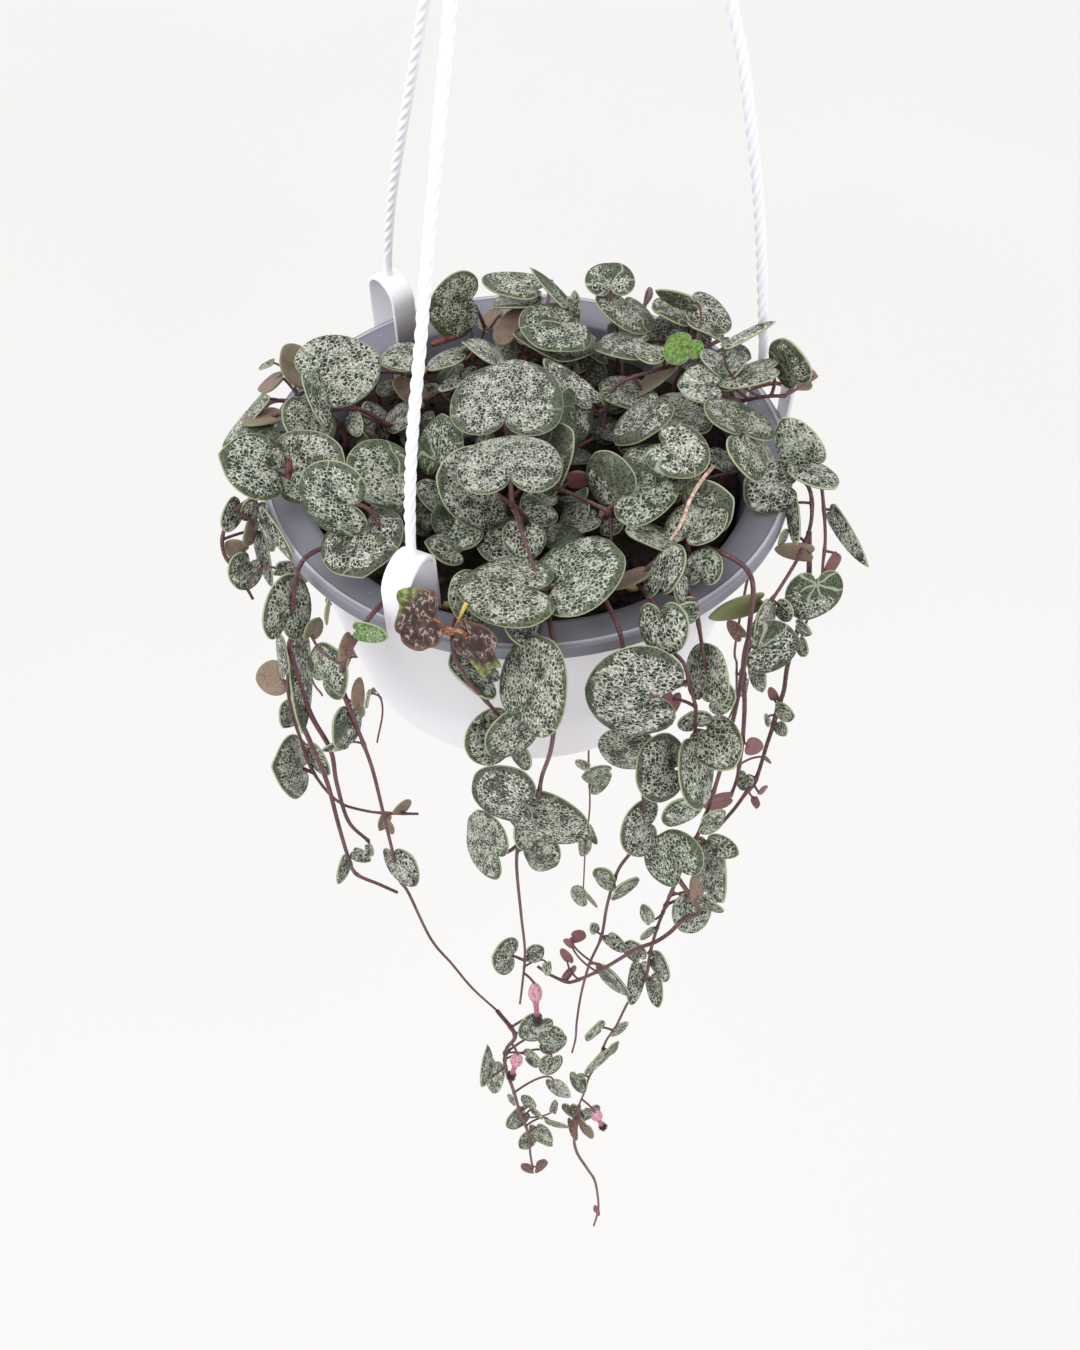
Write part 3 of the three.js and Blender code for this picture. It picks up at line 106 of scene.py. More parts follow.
CROWN = [
  # broad leaves over the left half
  [-53, 6, 19, 21, 30, -75, 25, 0.75],
  [-62.5, -22.5, 13, 17, 180, -35, 40, 0.75],
  [-60, -19.3, 10.2, 18.5, -5, -125, 55, 0.95],
  [-55.5, -0.5, 14, 14.5, -85, -15, 30, 0.85],
  [-54, 0, 24, 7, -50, -25, 55, 2],
  [-41.5, -41.5, 19, 19.5, 160, -110, 75],
  [-31.5, -23.5, 11, 18, -175, -40, 35, 0.8],
  [-40, -39.5, 10, 21.5, -85, 180, 15],
  [-23, -12.5, 7, 17, 70, -145, 55, 0.65],
  [-8, -26.5, 9, 21, -170, -35, 60, 0.85],
  # the two largest, one over the other, and their neighbours
  [-5.5, -13, 20, 28, 85, -160, 0, 0.9],
  [-4, -38, 24, 24.5, 90, 105, 5, 0.75],
  [3.5, -15, 5, 17, 15, -155, 65, 0.85],
  [12.5, 5, 11, 15.5, -70, -25, 60],
  [16.5, 5.5, 11, 8.5, 135, -35, 15, 2],
  # towards the back, left of the middle
  [10.5, 32, 16, 20, -140, -10, 15, 0.7],
  [7.5, 38, 8, 23.5, -85, 55, 20, 0.65],
  [2, 44.5, 19, 12.5, 160, 110, 0, 1.2],
  [1.5, 47, 14, 15, -175, 110, 20, 0.8],
  [-16, 40, 18, 18.5, -145, -45, 80, 0.75],
  [-8, 21, 14, 14.5, 175, 30, 35, 0.65],
  [-19, 23, 13, 13.5, -175, 140, 25, 0.65],
  [-30.5, 26.5, 10, 14, 180, 90, 5],
  [-14.5, 19, 10, 7.5, -160, 165, 20, 1.4],
  # over the left edge, some showing their undersides
  [-60.5, 21.5, 9, 13.5, -40, 165, 130, 0.65],
  [-69, 24, 10, 3.5, 175, 170, 30, 1.35],
  [-67.5, 20, 7, 10, -55, -20, 150, 0.6],
  [-69.5, 8.5, 10, 9, -150, 175, 40, 1.85],
  [-67, 3, 8, 12.5, -155, -75, 160, 0.6],
  # low on the soil
  [-41, 11.5, -4, 12.5, 120, -20, 60],
  [-33, 11.5, 4, 12.5, -120, -175, 35, 0.6],
  [-29, 19, 1, 8.5, -35, 150, 155, 1.1],
  [-13.5, -32, 2, 11.5, -175, -160, 15, 0.75],
  [-18, -39, 1, 11.5, 180, 20, 30, 0.65],
  [-4.5, -36.5, 1, 12, 180, -90, 5, 0.65],
  [5, -23.5, 1, 13, 180, 140, -15, 0.55],
  [13.5, -21.5, 0, 13.5, -175, 180, 50],
  [-22, -22, 2, 10, 170, -15, 40],
  [-1, -39, 8, 11, -90, -65, 25],
  [16, -27, 0, 9, -165, 160, 20],
  [22, -27, 1, 9, 180, -150, 40],
  [20, -40, -1, 12, -175, -5, 35],
  [27, -52, 6, 8, -100, -45, 150, 1.3],
  [31, 19, 3, 17, -180, 40, 10],
  [21, 41, 0, 13, 175, 10, 40],
  [12.5, 38.5, 11, 7.5, 70, -160, 60, 1.3],
  [-3, 36, 9, 15, 155, 25, 165, 0.75],
  [-8, 52, 4, 9, 30, 25, 155],
  [10.5, 37, 19, 6.5, 145, 0, 35, 2],
  # right half, back to front
  [23, 41, 21, 14, 90, -80, 10, 0.75],
  [27, 42, 16, 18, -80, 0, 25],
  [30.5, 27.5, 13, 15.5, -175, 80, 10, 0.75],
  [44.5, 40.5, 13, 13, 165, 15, 15, 0.8],
  [44.5, 34, 21, 7, 155, -125, 110, 1.75],
  [47, 39, 17, 13, -25, -40, 25, 0.85],
  [47, 35, 14, 12, -25, 35, 30],
  [41, 16, 20, 9.5, 175, -130, 30, 0.6],
  [43, 15.5, 20, 6, -5, -95, 20, 0.55],
  [50, 5, 29, 6.5, 15, 145, 30, 2],
  [51.5, 6.5, 20, 9.3, 20, 175, 45, 0.65],
  [50.5, 10, 18, 9.2, 150, -5, 30, 0.75],
  [68, 3, 20.5, 12.5, 90, -135, 90, 0.85],
  [76, 19, 7, 9, 85, 30, 170, 0.75],
  [47, 3, 18, 14, 175, 130, -5, 0.6],
  [61, 3, 23, 12.9, 175, 150, 25, 0.95],
  [32.5, -1.5, 14, 17, -150, 175, 30, 0.75],
  [44, 10, 6, 14, -180, 50, 10],
  [33, -21, 19, 14.5, -40, -130, 25, 0.85],
  [33.5, -16.5, 9, 13.5, 175, -75, 5, 0.75],
  [53, -14.5, 18, 19.5, 95, 25, 20, 0.75],
  [52.5, -21, 19, 12.5, -60, -15, 40, 0.8],
  [52, -8, 2, 9, -175, 0, 20],
  [68.5, -22, 15, 13, 105, -125, 80, 0.85],
  [68.5, -23, 13, 12.5, -55, 60, 15, 0.75],
  [65, -22, 6, 13.5, -170, -75, 60, 0.9],
  [22, -26.5, 9, 13.5, 110, -125, 65, 0.8],
  [31.5, -25, 9, 14.5, -125, 30, -10, 0.95],
  [33.5, -39.5, 5, 14.5, 170, 50, 25],
  [38.5, -39.5, 7, 17, 55, 180, 30],
  [41, -32, 7, 14.5, 0, -135, 75, 0.8],
  [30.5, -57.5, 9, 16, 60, 180, 55, 0.6],
  [36, -59, 6, 9, 125, -15, 65],
  [41, -51, 4, 10.5, 75, -155, 30, 0.75],
  # the front pair, and what it covers
  [6.5, -59, 10, 24, 25, -175, 25],
  [1, -62, 12, 23, 180, 20, 5],
  [-11, -60, 4, 14.5, 175, -25, 50],
  [-1.5, -64, 7, 13, -75, -20, 45, 0.65],
  # between the others on the right
  [39, 23, 9, 10, -45, -10, 140, 1.2],
  [59, -10, 11, 14, -45, 0, 55],
  [41, -17, 7, 14, -145, 170, 50],
  [51, 7, 14.5, 7.8, 25, 140, 20],
  # small ones at the edge and in the gaps
  [-67, -1, 8, 10, -155, -80, -10, 0.85],
  [-46.5, 3.5, 8, 6, -65, -160, 50, 1.4],
  [11, -19, 6, 7, -10, 90, 80],
  [35.5, 18.5, 16, 10, 150, 100, 10],
  [39, -1, 10, 13, -25, 90, 10],
]

# Each trailing vine: the points that its stem passes through, and its leaves.
VINES = {
  "left_rim": {
    "stem": [
      [-66, -23, 5], [-74, -28, 3], [-77, -32, -5], [-73, -36, -11], [-70, -40, -15],
    ],
    "leaves": [
      [-72.5, -25, 3, 6.5, -110, -5, 70, 1.75],
      [-68, -24.5, 3, 7.5, -100, -50, 90],
      [-69.5, -28, -1, 8.5, -160, 160, 85, 0.6],
      [-72.5, -30.5, -7, 8, -175, 85, 90, 0.6],
      [-70.5, -34.5, -8, 11, -95, -40, 70, 0.6],
      [-69, -26.5, -6, 7, -100, -145, 70, 1.9],
      [-66.5, -28.5, 3, 7.5, -70, -140, 85, 2],
      [-62.5, -38, -6, 5, 5, -55, 95, 1.6],
    ],
  },
  "left_outer": {
    "stem": [
      [-53, -47, 7], [-57, -53, -4], [-58, -53, -10], [-60, -53, -20],
      [-62, -53, -30], [-63, -54, -42], [-62, -55, -56], [-61, -56, -66], [-58, -57, -76],
      [-54, -58, -82], [-48, -59, -84], [-42, -60, -84], [-32, -61, -83],
    ],
    "leaves": [
      [-59, -56, -7, 16, 105, -35, 75, 0.8],
      [-61, -58.5, -21, 7, 95, -160, 65, 1.5],
      [-58.5, -47.5, -23, 12.5, -55, -10, 75, 1.75],
      [-65, -49.5, -35, 9.5, 125, 60, 125, 0.8],
      [-64, -50, -47, 9, -85, -25, 75, 0.65],
      [-64, -53.5, -70, 18, -155, -10, 75, 0.75],
      [-61, -53, -62, 8.5, -75, -130, 75, 1.1],
      [-37.5, -60.5, -82, 7, 5, 130, 85, 0.65],
      [-42, -58, -89, 6, -150, 145, 100],
      [-41, -62, -86, 5, -15, 45, 105],
    ],
  },
  "left_long": {
    "stem": [
      [-36, -63, 5], [-40, -65, -1], [-43, -64, -8], [-46, -63, -17],
      [-46, -63, -26], [-44, -64, -39], [-42, -65, -54], [-41, -66, -71], [-40, -67, -91],
      [-39, -68, -108], [-37, -68, -116], [-32, -69, -144], [-26, -70, -160], [-20, -71, -176],
      [-12, -72, -192],
    ],
    "leaves": [
      [-53, -56, -10, 7.5, 10, 145, 90, 0.6],
      [-51, -60.5, -22, 14.5, 25, -135, 75, 0.8],
      [-39.5, -66.5, 3, 5.5, -15, -110, 70, 1.35],
      [-42.5, -60.5, -6, 4, -175, 130, 125, 1.55],
      [-42.5, -66, -25, 4, -5, 140, 120, 1.7],
      [-46, -63, -34, 13.5, -70, -25, 80, 0.65],
      [-43, -63, -29, 5, -20, 35, 100],
      [-48, -64, -45, 4, -165, -70, 90, 1.55],
      [-39.5, -67, -97, 14, -90, -130, 75, 0.75],
    ],
  },
  "left_thin": {
    "stem": [
      [-60, -53, -20], [-60, -60, -38], [-59, -60, -43],
      [-57, -62, -52], [-55, -64, -63], [-54, -66, -81], [-53, -67, -97], [-52, -66, -108],
      [-46, -65, -116], [-41, -65, -121],
    ],
    "leaves": [
      [-55.5, -61, -108, 6, -95, -20, 70, 1.25],
      [-52, -63.5, -100, 4, -20, -55, 50, 1.45],
    ],
  },
  "left_thread": {
    "stem": [
      [-60, -53, -20], [-56.5, -60, -36], [-52.5, -63, -48.5], [-52.5, -64, -63],
      [-51.5, -64, -82], [-47, -64, -92.5],
    ],
    "leaves": [
      [-47, -65, -94, 4, -90, -140, 65, 0.75],
    ],
  },
  "front_left": {
    "stem": [
      [-17, -66, 5], [-17, -74, 4], [-14, -76, -4], [-9, -75, -15],
      [-5, -74, -25], [-4, -73, -33],
    ],
    "leaves": [
      [-9.5, -70, -11, 13.5, 170, 10, 35, 0.85],
      [-7.5, -73, -28, 15.5, -155, -50, 65, 0.65],
      [-2.5, -75.5, -22, 16, -115, -60, 80, 0.6],
      [-6, -75, -28, 9, 50, -40, 60],
      [-3, -73.5, -35, 9, -100, -145, 80, 0.6],
      [-6, -70, -36, 5.5, -90, -40, 80, 0.65],
    ],
  },
  "front": {
    "stem": [
      [5, -67, 4], [6, -73, 3], [6, -77, -2], [6, -79, -13],
      [5, -80, -26], [3, -79, -38], [2, -78, -49], [0, -76, -58], [-3, -75, -76], [-4, -74, -90],
      [-3, -74, -119], [-2, -74, -144], [-3, -74, -166], [-4, -74, -182],
    ],
    "leaves": [
      [-1.5, -81, -7, 22, 40, -145, 60, 0.8],
      [-2.5, -81.5, -45, 18.5, 160, -110, 75, 0.75],
      [0, -78.5, -55, 18.5, -35, -100, 80, 0.9],
      [-9.5, -78.5, -76, 20, 130, -145, 70, 0.7],
      [0.5, -72.5, -69, 13, -80, -35, 65, 0.65],
      [1.5, -74.5, -82, 17, -55, -125, 80, 0.4],
      [-6.5, -72.5, -149, 12.5, -170, -30, 70, 0.75],
      [0, -72.5, -149, 8.5, 10, -75, 75, 0.55],
      [5, -73, -154, 3.5, -65, -60, 70, 1.6],
    ],
  },
  "right_front": {
    "stem": [
      [30, -62, 5], [31, -71, 5], [33, -74, 3], [35, -76, 2],
      [37, -77, -5], [39, -77, -13], [40, -75, -22], [41, -72, -30],
    ],
    "leaves": [
      [29.5, -70, 12, 13, -100, -130, 65, 0.75],
      [28.5, -80, -5, 28, 175, -90, 80, 0.55],
      [33.5, -74, -14, 10, 170, 130, 95, 0.65],
      [43.5, -74, -27, 13, -65, -165, 30, 0.9],
      [35.5, -78.5, -36, 17.5, -170, -40, 55, 0.7],
      [41.5, -77.5, -31, 15.5, -80, -25, 55, 0.9],
      [41, -73.5, -25, 9, 120, -80, 95],
    ],
  },
  "right_small": {
    "stem": [
      [38, -58, 5], [39, -66, 4], [40, -71, 0], [42, -72, -8],
      [45, -71, -16],
    ],
    "leaves": [
      [37, -68, 10, 8, -150, -75, 90],
      [41.5, -75, -9, 15, 60, -150, 70, 0.75],
      [43, -74, -15, 8.5, 10, -140, 80, 1.1],
      [36, -60.5, 4, 6, -20, -70, 80],
    ],
  },
  "right_under": {
    "stem": [
      [20, -66, 5], [22, -70, -2], [25, -70, -22], [27, -70, -38],
      [30, -71, -58], [31, -71, -73], [30, -71, -85], [28, -71, -90], [25, -72, -98],
      [23, -72, -117], [22, -72, -138], [19, -72, -156], [17, -71, -180], [16, -71, -204],
      [16, -70, -221], [15, -70, -234],
    ],
    "leaves": [
      [28, -72, -38, 16, 175, -100, 85],
      [33, -71.5, -73, 16.5, -155, -35, 65, 0.75],
      [23.5, -73, -102, 9.5, 160, -125, 85],
      [25.5, -76, -102, 10.5, 20, -60, 95],
      [20.5, -70.5, -137, 3.5, 140, -55, 85, 1.8],
      [24.5, -71, -140, 5.5, -50, -95, 70, 1.5],
      [24, -75, -156, 14.5, -70, -135, 95, 0.75],
    ],
  },
  "right_mid": {
    "stem": [
      [52, -50, 5], [53, -58, -6], [52, -64, -30], [50, -68, -55],
      [47, -71, -77], [44, -72, -88], [43, -73, -97], [41, -73, -112], [39, -73, -130],
      [38, -73, -147], [38, -73, -162], [36, -72, -176], [33, -72, -187], [30, -72, -206],
      [27, -71, -222], [25, -71, -241], [22, -71, -256], [21, -71, -269], [19, -71, -286],
      [19, -71, -305],
    ],
    "leaves": [
      [42, -74, -60, 12.5, -100, -70, 85],
      [41, -79.5, -83, 19, 110, -130, 60, 0.6],
      [50.5, -68.5, -89, 14, -100, -160, 70, 1.25],
      [50.5, -73, -81, 7, -25, -105, 50, 1.1],
      [48, -73.5, -70, 10, 20, -65, 85, 0.65],
      [49, -72, -117, 13.5, -85, -70, 55, 0.75],
      [49, -74, -108, 6, -40, 135, 110, 1.5],
      [48, -72, -111, 4.5, -160, -45, 80, 1.6],
      [54, -72.5, -117, 7, -40, -120, 100, 0.65],
      [35.5, -76, -119, 7.5, 105, -145, 80, 0.65],
      [37, -74, -130, 6.5, -115, -55, 90, 0.65],
      [40, -73, -153, 11, -55, -150, 80],
      [40, -71, -170, 8, -90, -155, 60, 1.2],
      [36, -69, -164, 8, -90, -50, 55, 1.7],
      [34, -75, -145, 9, 115, -125, 75],
      [24, -72, -209, 10, -165, -50, 90, 0.65],
      [30.5, -72, -210, 9, 10, -60, 90, 0.6],
      [27, -72.5, -229, 12, -105, -50, 90, 0.9],
      [29, -72, -228, 7.5, 30, -50, 85, 0.65],
      [17.5, -71, -255, 7.5, -100, -120, 70, 1.2],
    ],
  },
  "runner": {
    "stem": [
      [43, -74, -99], [50, -76, -114], [46, -76, -119], [42, -77, -126], [38, -77, -132], [33, -76, -138],
      [28, -76, -145], [22, -76, -153], [14, -75, -163], [11, -74, -165], [6, -72, -164],
      [2, -70, -162],
    ],
    "leaves": [
      [13.5, -68, -145, 6, 35, 105, 105],
      [13, -70, -147, 5, 145, 55, 90, 0.65],
      [12, -69.5, -158, 6, -175, 45, 100],
      [13, -69, -167, 7, 170, 135, 95, 0.65],
    ],
  },
  "right_a": {
    "stem": [
      [60, -45, -13], [56, -49, -19], [55, -52, -28],
      [57, -54, -43], [58, -56, -58], [58, -57, -64], [58, -58, -71], [57, -59, -78],
    ],
    "leaves": [
      [65.5, -54, -66, 2, -75, 30, 85, 1.65],
      [59, -57.5, -56, 5, 100, 145, 110, 1.8],
      [55.5, -60, -78, 9.5, 180, 100, 85],
    ],
  },
  "right_b": {
    "stem": [
      [71, -29, -3], [72, -35, -15], [71, -39, -28], [69, -44, -38],
      [69, -46, -46], [68, -48, -50], [67, -50, -59], [66, -52, -63], [64, -56, -74],
      [61, -59, -77], [58, -62, -80], [54, -65, -84],
    ],
    "leaves": [
      [68, -49.5, -51, 6.5, -25, -130, 85],
      [68.5, -50.5, -56, 5.5, -95, -145, 80, 0.65],
      [67, -46, -50, 3, -125, 75, 90, 1.7],
      [61, -56, -73, 5.5, -130, -125, 75, 1],
      [65.5, -58.5, -77, 4.5, 0, 130, 85, 0.6],
      [64, -59.5, -79, 4.5, -25, 25, 95, 0.6],
      [65, -50, -53, 3, -155, -155, 95, 1.45],
    ],
  },
  "right_outer": {
    "stem": [
      [62, -12, 3], [67, -15, 5], [71, -20, 4], [72, -24, 0], [71, -29, -3],
      [68, -35, -6], [65, -39, -9], [62, -43, -11], [60, -45, -13], [58, -48, -18],
      [56, -51, -23], [54, -54, -29],
    ],
    "leaves": [
      [66.5, -23.5, 1, 6, -95, -175, 70, 2],
      [65, -29.5, -3, 6.5, -75, -35, 90, 0.55],
      [71, -33.5, -6, 5.5, 170, 80, 105, 1.55],
      [56.5, -46, -10, 10, -175, 105, 80, 1.25],
      [56.5, -56.5, -16, 14.5, 10, -75, 60, 0.75],
      [60, -48, -12, 14, -80, -30, 80, 0.65],
      [58.5, -52, -29, 9, -115, -160, 80],
      [63, -45, -14, 6.5, -55, -140, 80],
    ],
  },
  "right_far": {
    "stem": [
      [64, -2, 5], [72, -8, 6], [75, -15, 2], [76, -21, -3], [76, -28, -7],
      [75, -34, -10], [75, -37, -12],
    ],
    "leaves": [
      [73, -38.5, -12, 15.5, -85, -80, 70],
      [78.5, -20, -5, 6.5, -75, -160, 80, 2.8],
      [79, -31, -10, 5, 180, 130, 105, 1.25],
      [69.5, -44, -22, 6, -50, -140, 100, 0.65],
      [71, -43, -30, 6.5, -90, -155, 85, 0.6],
    ],
  },
  "knot": {
    "stem": [
      [-12, -72, -192], [-6, -76, -203], [-9, -76, -215], [-10, -76, -228], [-9, -76, -241],
      [-7, -76, -258], [-5, -76, -279], [-2, -76, -302], [-1, -76, -330], [0, -76, -349],
    ],
    "leaves": [
      [3, -76, -192, 13, -120, -65, 65],
      [6, -76, -201, 10, -65, -90, 65],
      [-1.5, -77.5, -220, 8.5, -15, -125, 75, 0.65],
      [7.5, -76, -226, 10, -95, -65, 65],
      [8.5, -70.5, -221, 11, -90, -70, 70],
      [-14, -71, -242, 10, -120, -145, 60, 1.25],
      [-16.5, -81, -233, 8, 120, -30, 75, 1.8],
      [8.5, -73, -257, 10.5, -75, -120, 80, 0.85],
      [-7.5, -73.5, -275, 6.5, 120, -135, 85, 0.6],
      [-4, -73, -290, 12, -135, -55, 70, 0.65],
      [-1.5, -74, -277, 7.5, 85, -125, 70, 0.65],
      [0, -73.5, -285, 9, -25, -130, 95, 0.6],
      [7, -74.5, -294, 10.5, -20, -110, 100, 0.75],
      [8.5, -74.5, -282, 6, 85, -25, 65],
      [2, -74.5, -303, 11.5, -75, -125, 70, 0.75],
      [4, -73.5, -319, 8, -50, -120, 90, 0.65],
      [-0.5, -71.5, -321, 9, -130, -60, 60, 0.75],
      [-1, -76.5, -347, 5.5, -175, -135, 75, 1.4],
      [2, -76.5, -345, 6, 10, -30, 70, 1.4],
    ],
  },
  "tail": {
    "stem": [
      [19, -71, -286], [18, -73, -315], [18, -72, -328], [20, -72, -343], [25, -71, -366],
      [29, -71, -384], [32, -70, -421], [32, -70, -440], [31, -70, -458],
    ],
    "leaves": [
      [16, -73.5, -297, 6.5, -100, -150, 70, 1.25],
      [22, -76, -295, 10, 35, 40, 95, 0.75],
      [16, -68, -297, 11.5, -80, -120, 80, 0.65],
      [23.5, -68, -300, 11, -75, -65, 80],
      [31.5, -71, -432, 5, -160, 35, 105, 1],
    ],
  },
  "right_thin": {
    "stem": [
      [66, 20, 5], [71, 21, 2], [71, 21, -8], [70, 20, -98], [72, 20, -116], [74, 20, -135],
      [73, 20, -146],
    ],
    "leaves": [
      [70.5, 17, -97, 6.5, 115, -130, 75, 1],
      [75, 17, -120, 9.5, -110, -25, 70],
    ],
  },
  "back_right": {
    "stem": [
      [36, 60, 5], [36, 70, -2], [34, 72, -40], [30, 70, -110],
      [27, 69, -180], [26, 68, -228], [27, 68, -256], [28, 68, -280], [27, 67, -316],
      [27, 66, -344], [27, 66, -362],
    ],
    "leaves": [
      [26, 66, -243, 6, 155, -125, 75, 1.2],
      [34, 67, -250, 15, -170, -80, 90],
      [34, 73, -261, 14, -95, -45, 80],
      [27, 70, -309, 14, -75, -25, 70],
      [28, 74, -306, 7, -80, -140, 75, 1.4],
      [27, 63, -355, 12, 165, -135, 65],
      [29, 74, -371, 9, -75, 35, 80, 1.4],
      [38, 74, -30, 18, 60, 60, 80],
      [30, 76, -36, 16, -130, 110, 75],
      [34, 75, -85, 17, 160, 80, 80],
      [28, 74, -92, 15, -60, 100, 85],
      [27, 74, -150, 14, 40, 70, 80],
      [25, 73, -158, 13, -150, 105, 80],
    ],
  },
}

# Side shoots, each one piece with the vine that it grows from.
SHOOTS = {
  "left_outer": ["left_thin", "left_thread"],
  "left_long": ["knot"],
  "right_mid": ["runner", "tail"],
  "right_outer": ["right_a", "right_b"],
}

# Vines on the side away from the front, made by rule: a stem from the soil over the rim that then
# hangs with a slight sway, with pairs of leaves that grow smaller towards its tip.
RULED_VINES = {
  "back_a": {"azimuth": 36, "hang": 130, "seed": 11},
  "back_b": {"azimuth": 84, "hang": 200, "seed": 23},
  "back_c": {"azimuth": 108, "hang": 120, "seed": 37},
  "back_d": {"azimuth": 146, "hang": 190, "seed": 53},
  "back_e": {"azimuth": 168, "hang": 110, "seed": 71},
}
LEAF_SPACING = 32

# Two leaves that wither on one dried stalk over the front of the rim.
WITHERED = {
  "stem": [[-17, -70, 6], [-19, -72, 8.5], [-18, -73, 11], [-14, -75, 12]],
  "leaves": [
    [-21.5, -72, 13, 14, 165, -130, 55, 0.85],
    [-14, -75.5, 11, 12, -50, -130, 75, 1],
  ],
}

# Each lantern flower hangs on a short stalk from one of the vines: its bulb and its tip.
FLOWERS = {
  "upper": {"vine": "front", "bulb": [1, -78, -158], "tip": [2, -82, -182]},
  "middle": {"vine": "knot", "bulb": [-5, -80, -211], "tip": [-8, -83, -226]},
  "lower": {"vine": "right_mid", "bulb": [25, -76, -279], "tip": [29, -79, -290]},
}

# Leaves that differ from the usual marbled green, by the place where each is attached.
YOUNG = {(41, 16, 20), (43, 15.5, 20), (20, 15.5, 3), (15.5, 11.8, 3)}
GREENER = {(56.5, -46, -10), (-39.5, -66.5, 3)}
PALE = {
    (-53, 6, 19), (-4, -38, 24), (-8, 21, 14), (-19, 23, 13), (-14.5, 19, 10), (-30.5, 26.5, 10),
    (47, 3, 18), (33.5, -39.5, 5), (38.5, -39.5, 7), (68.5, -22, 15), (41.5, -75, -9),
    (50.5, -68.5, -89), (49, -72, -117), (-65, -49.5, -35),
}
PLAIN = {
    (68, 3, 20.5), (33.5, -16.5, 9), (22, -26.5, 9), (41, -32, 7), (-67, -1, 8), (44.5, 34, 21),
    (10.5, 37, 19), (3.5, -15, 5), (12.5, 5, 11),
}
VEINED = {
    (23, 41, 21), (27, 42, 16), (30.5, 27.5, 13), (10.5, 32, 16), (44.5, 40.5, 13), (47, 39, 17),
    (31.5, -25, 9), (-40, -39.5, 10), (-23, -12.5, 7), (-41.5, -41.5, 19), (-31.5, -23.5, 11),
    (73, -38.5, -12), (56.5, -56.5, -16), (33, -21, 19),
}
MAROON = {
    (70.5, 17, -97), (-1, -76.5, -347), (2, -76.5, -345), (31.5, -71, -432), (16, -73.5, -297),
    (33.5, -74, -14), (55.5, -60, -78), (59, -57.5, -56), (67, -46, -50), (65.5, -58.5, -77),
    (64, -59.5, -79), (79, -31, -10), (13, -70, -147), (12, -69.5, -158), (13, -69, -167),
    (11, -19, 6), (13.5, -68, -145),
}


# ---- camera ------------------------------------------------------------------------------------
# 340 mm from the middle of the rim, looking down on the pot from in front.
CAMERA_DISTANCE = 340
CAMERA_ELEVATION = 40.8
CAMERA_PITCH = 51.0
CAMERA_YAW = 0.77
CAMERA_ROLL = 0.19
CAMERA_LENS = 33.65


def make_camera():
    """The camera, set up from its place and its three turns."""
    rise = math.radians(CAMERA_ELEVATION)
    pitch = math.radians(CAMERA_PITCH)
    yaw = math.radians(CAMERA_YAW)
    roll = math.radians(CAMERA_ROLL)
    place = Vector((0, -math.cos(rise), math.sin(rise))) * CAMERA_DISTANCE
    place.z -= RIM_DROP
    ahead = Vector(
        (math.sin(yaw) * math.cos(pitch), math.cos(yaw) * math.cos(pitch), -math.sin(pitch))
    )
    level = ahead.cross(Vector((0, 0, 1))).normalized()
    upright = level.cross(ahead)
    right = level * math.cos(roll) + upright * math.sin(roll)
    up = upright * math.cos(roll) - level * math.sin(roll)
    data = bpy.data.cameras.new("front_view")
    data.lens = CAMERA_LENS
    data.clip_start = 0.01
    data.clip_end = 50
    camera = bpy.data.objects.new("front_view", data)
    turn = Matrix((right, up, -ahead)).transposed().to_4x4()
    camera.matrix_world = Matrix.Translation(place * MM) @ turn
    bpy.context.scene.collection.objects.link(camera)
    bpy.context.scene.camera = camera


# ---- materials ---------------------------------------------------------------------------------
SOFT = {"interpolation_type": "SMOOTHSTEP"}
BLEND = {"data_type": "RGBA"}
MULTIPLY = {"operation": "MULTIPLY"}
ADD = {"operation": "ADD"}
SCALE = {"operation": "SCALE"}
MIXED = 2  # output of a Mix node that holds a colour


def colour(hex_code):
    """An sRGB hex colour as linear RGBA."""
    parts = [int(hex_code[i : i + 2], 16) / 255 for i in (1, 3, 5)]
    linear = [c / 12.92 if c <= 0.04045 else ((c + 0.055) / 1.055) ** 2.4 for c in parts]
    return (*linear, 1.0)


class Finish:
    """A material being put together on its Principled shader."""

    def __init__(self, name, roughness, ior=1.45):
        self.material = bpy.data.materials.new(name)
        self.material.use_nodes = True
        self.tree = self.material.node_tree
        self.shader = self.tree.nodes["Principled BSDF"]
        self.fill(self.shader, {"Roughness": roughness, "IOR": ior})

    def fill(self, node, inputs):
        """Links a node's inputs, or sets them to numbers or hex colours."""
        for key, value in inputs.items():
            socket = node.inputs[key]
            if isinstance(value, bpy.types.NodeSocket):
                self.tree.links.new(value, socket)
            elif isinstance(value, str):
                socket.default_value = colour(value)
            else:
                socket.default_value = value

    def add(self, kind, inputs=None, output=0, **settings):
        """Adds a node with its settings and links, and gives back one of its outputs."""
        node = self.tree.nodes.new("ShaderNode" + kind)
        for key, value in settings.items():
            setattr(node, key, value)
        self.fill(node, inputs or {})
        return node.outputs[output]

    def surface(self, face, height, strength, depth, **inputs):
        """Gives the shader its colour and a relief of "depth" millimetres."""
        relief = {"Height": height, "Strength": strength, "Distance": depth * MM}
        self.fill(self.shader, {"Base Color": face, "Normal": self.add("Bump", relief), **inputs})
        return self.material

    def millimetres(self):
        """The place on the object, in millimetres."""
        place = self.add("TexCoord", output="Object")
        return self.add("VectorMath", {"Vector": place, "Scale": 1 / MM}, **SCALE)


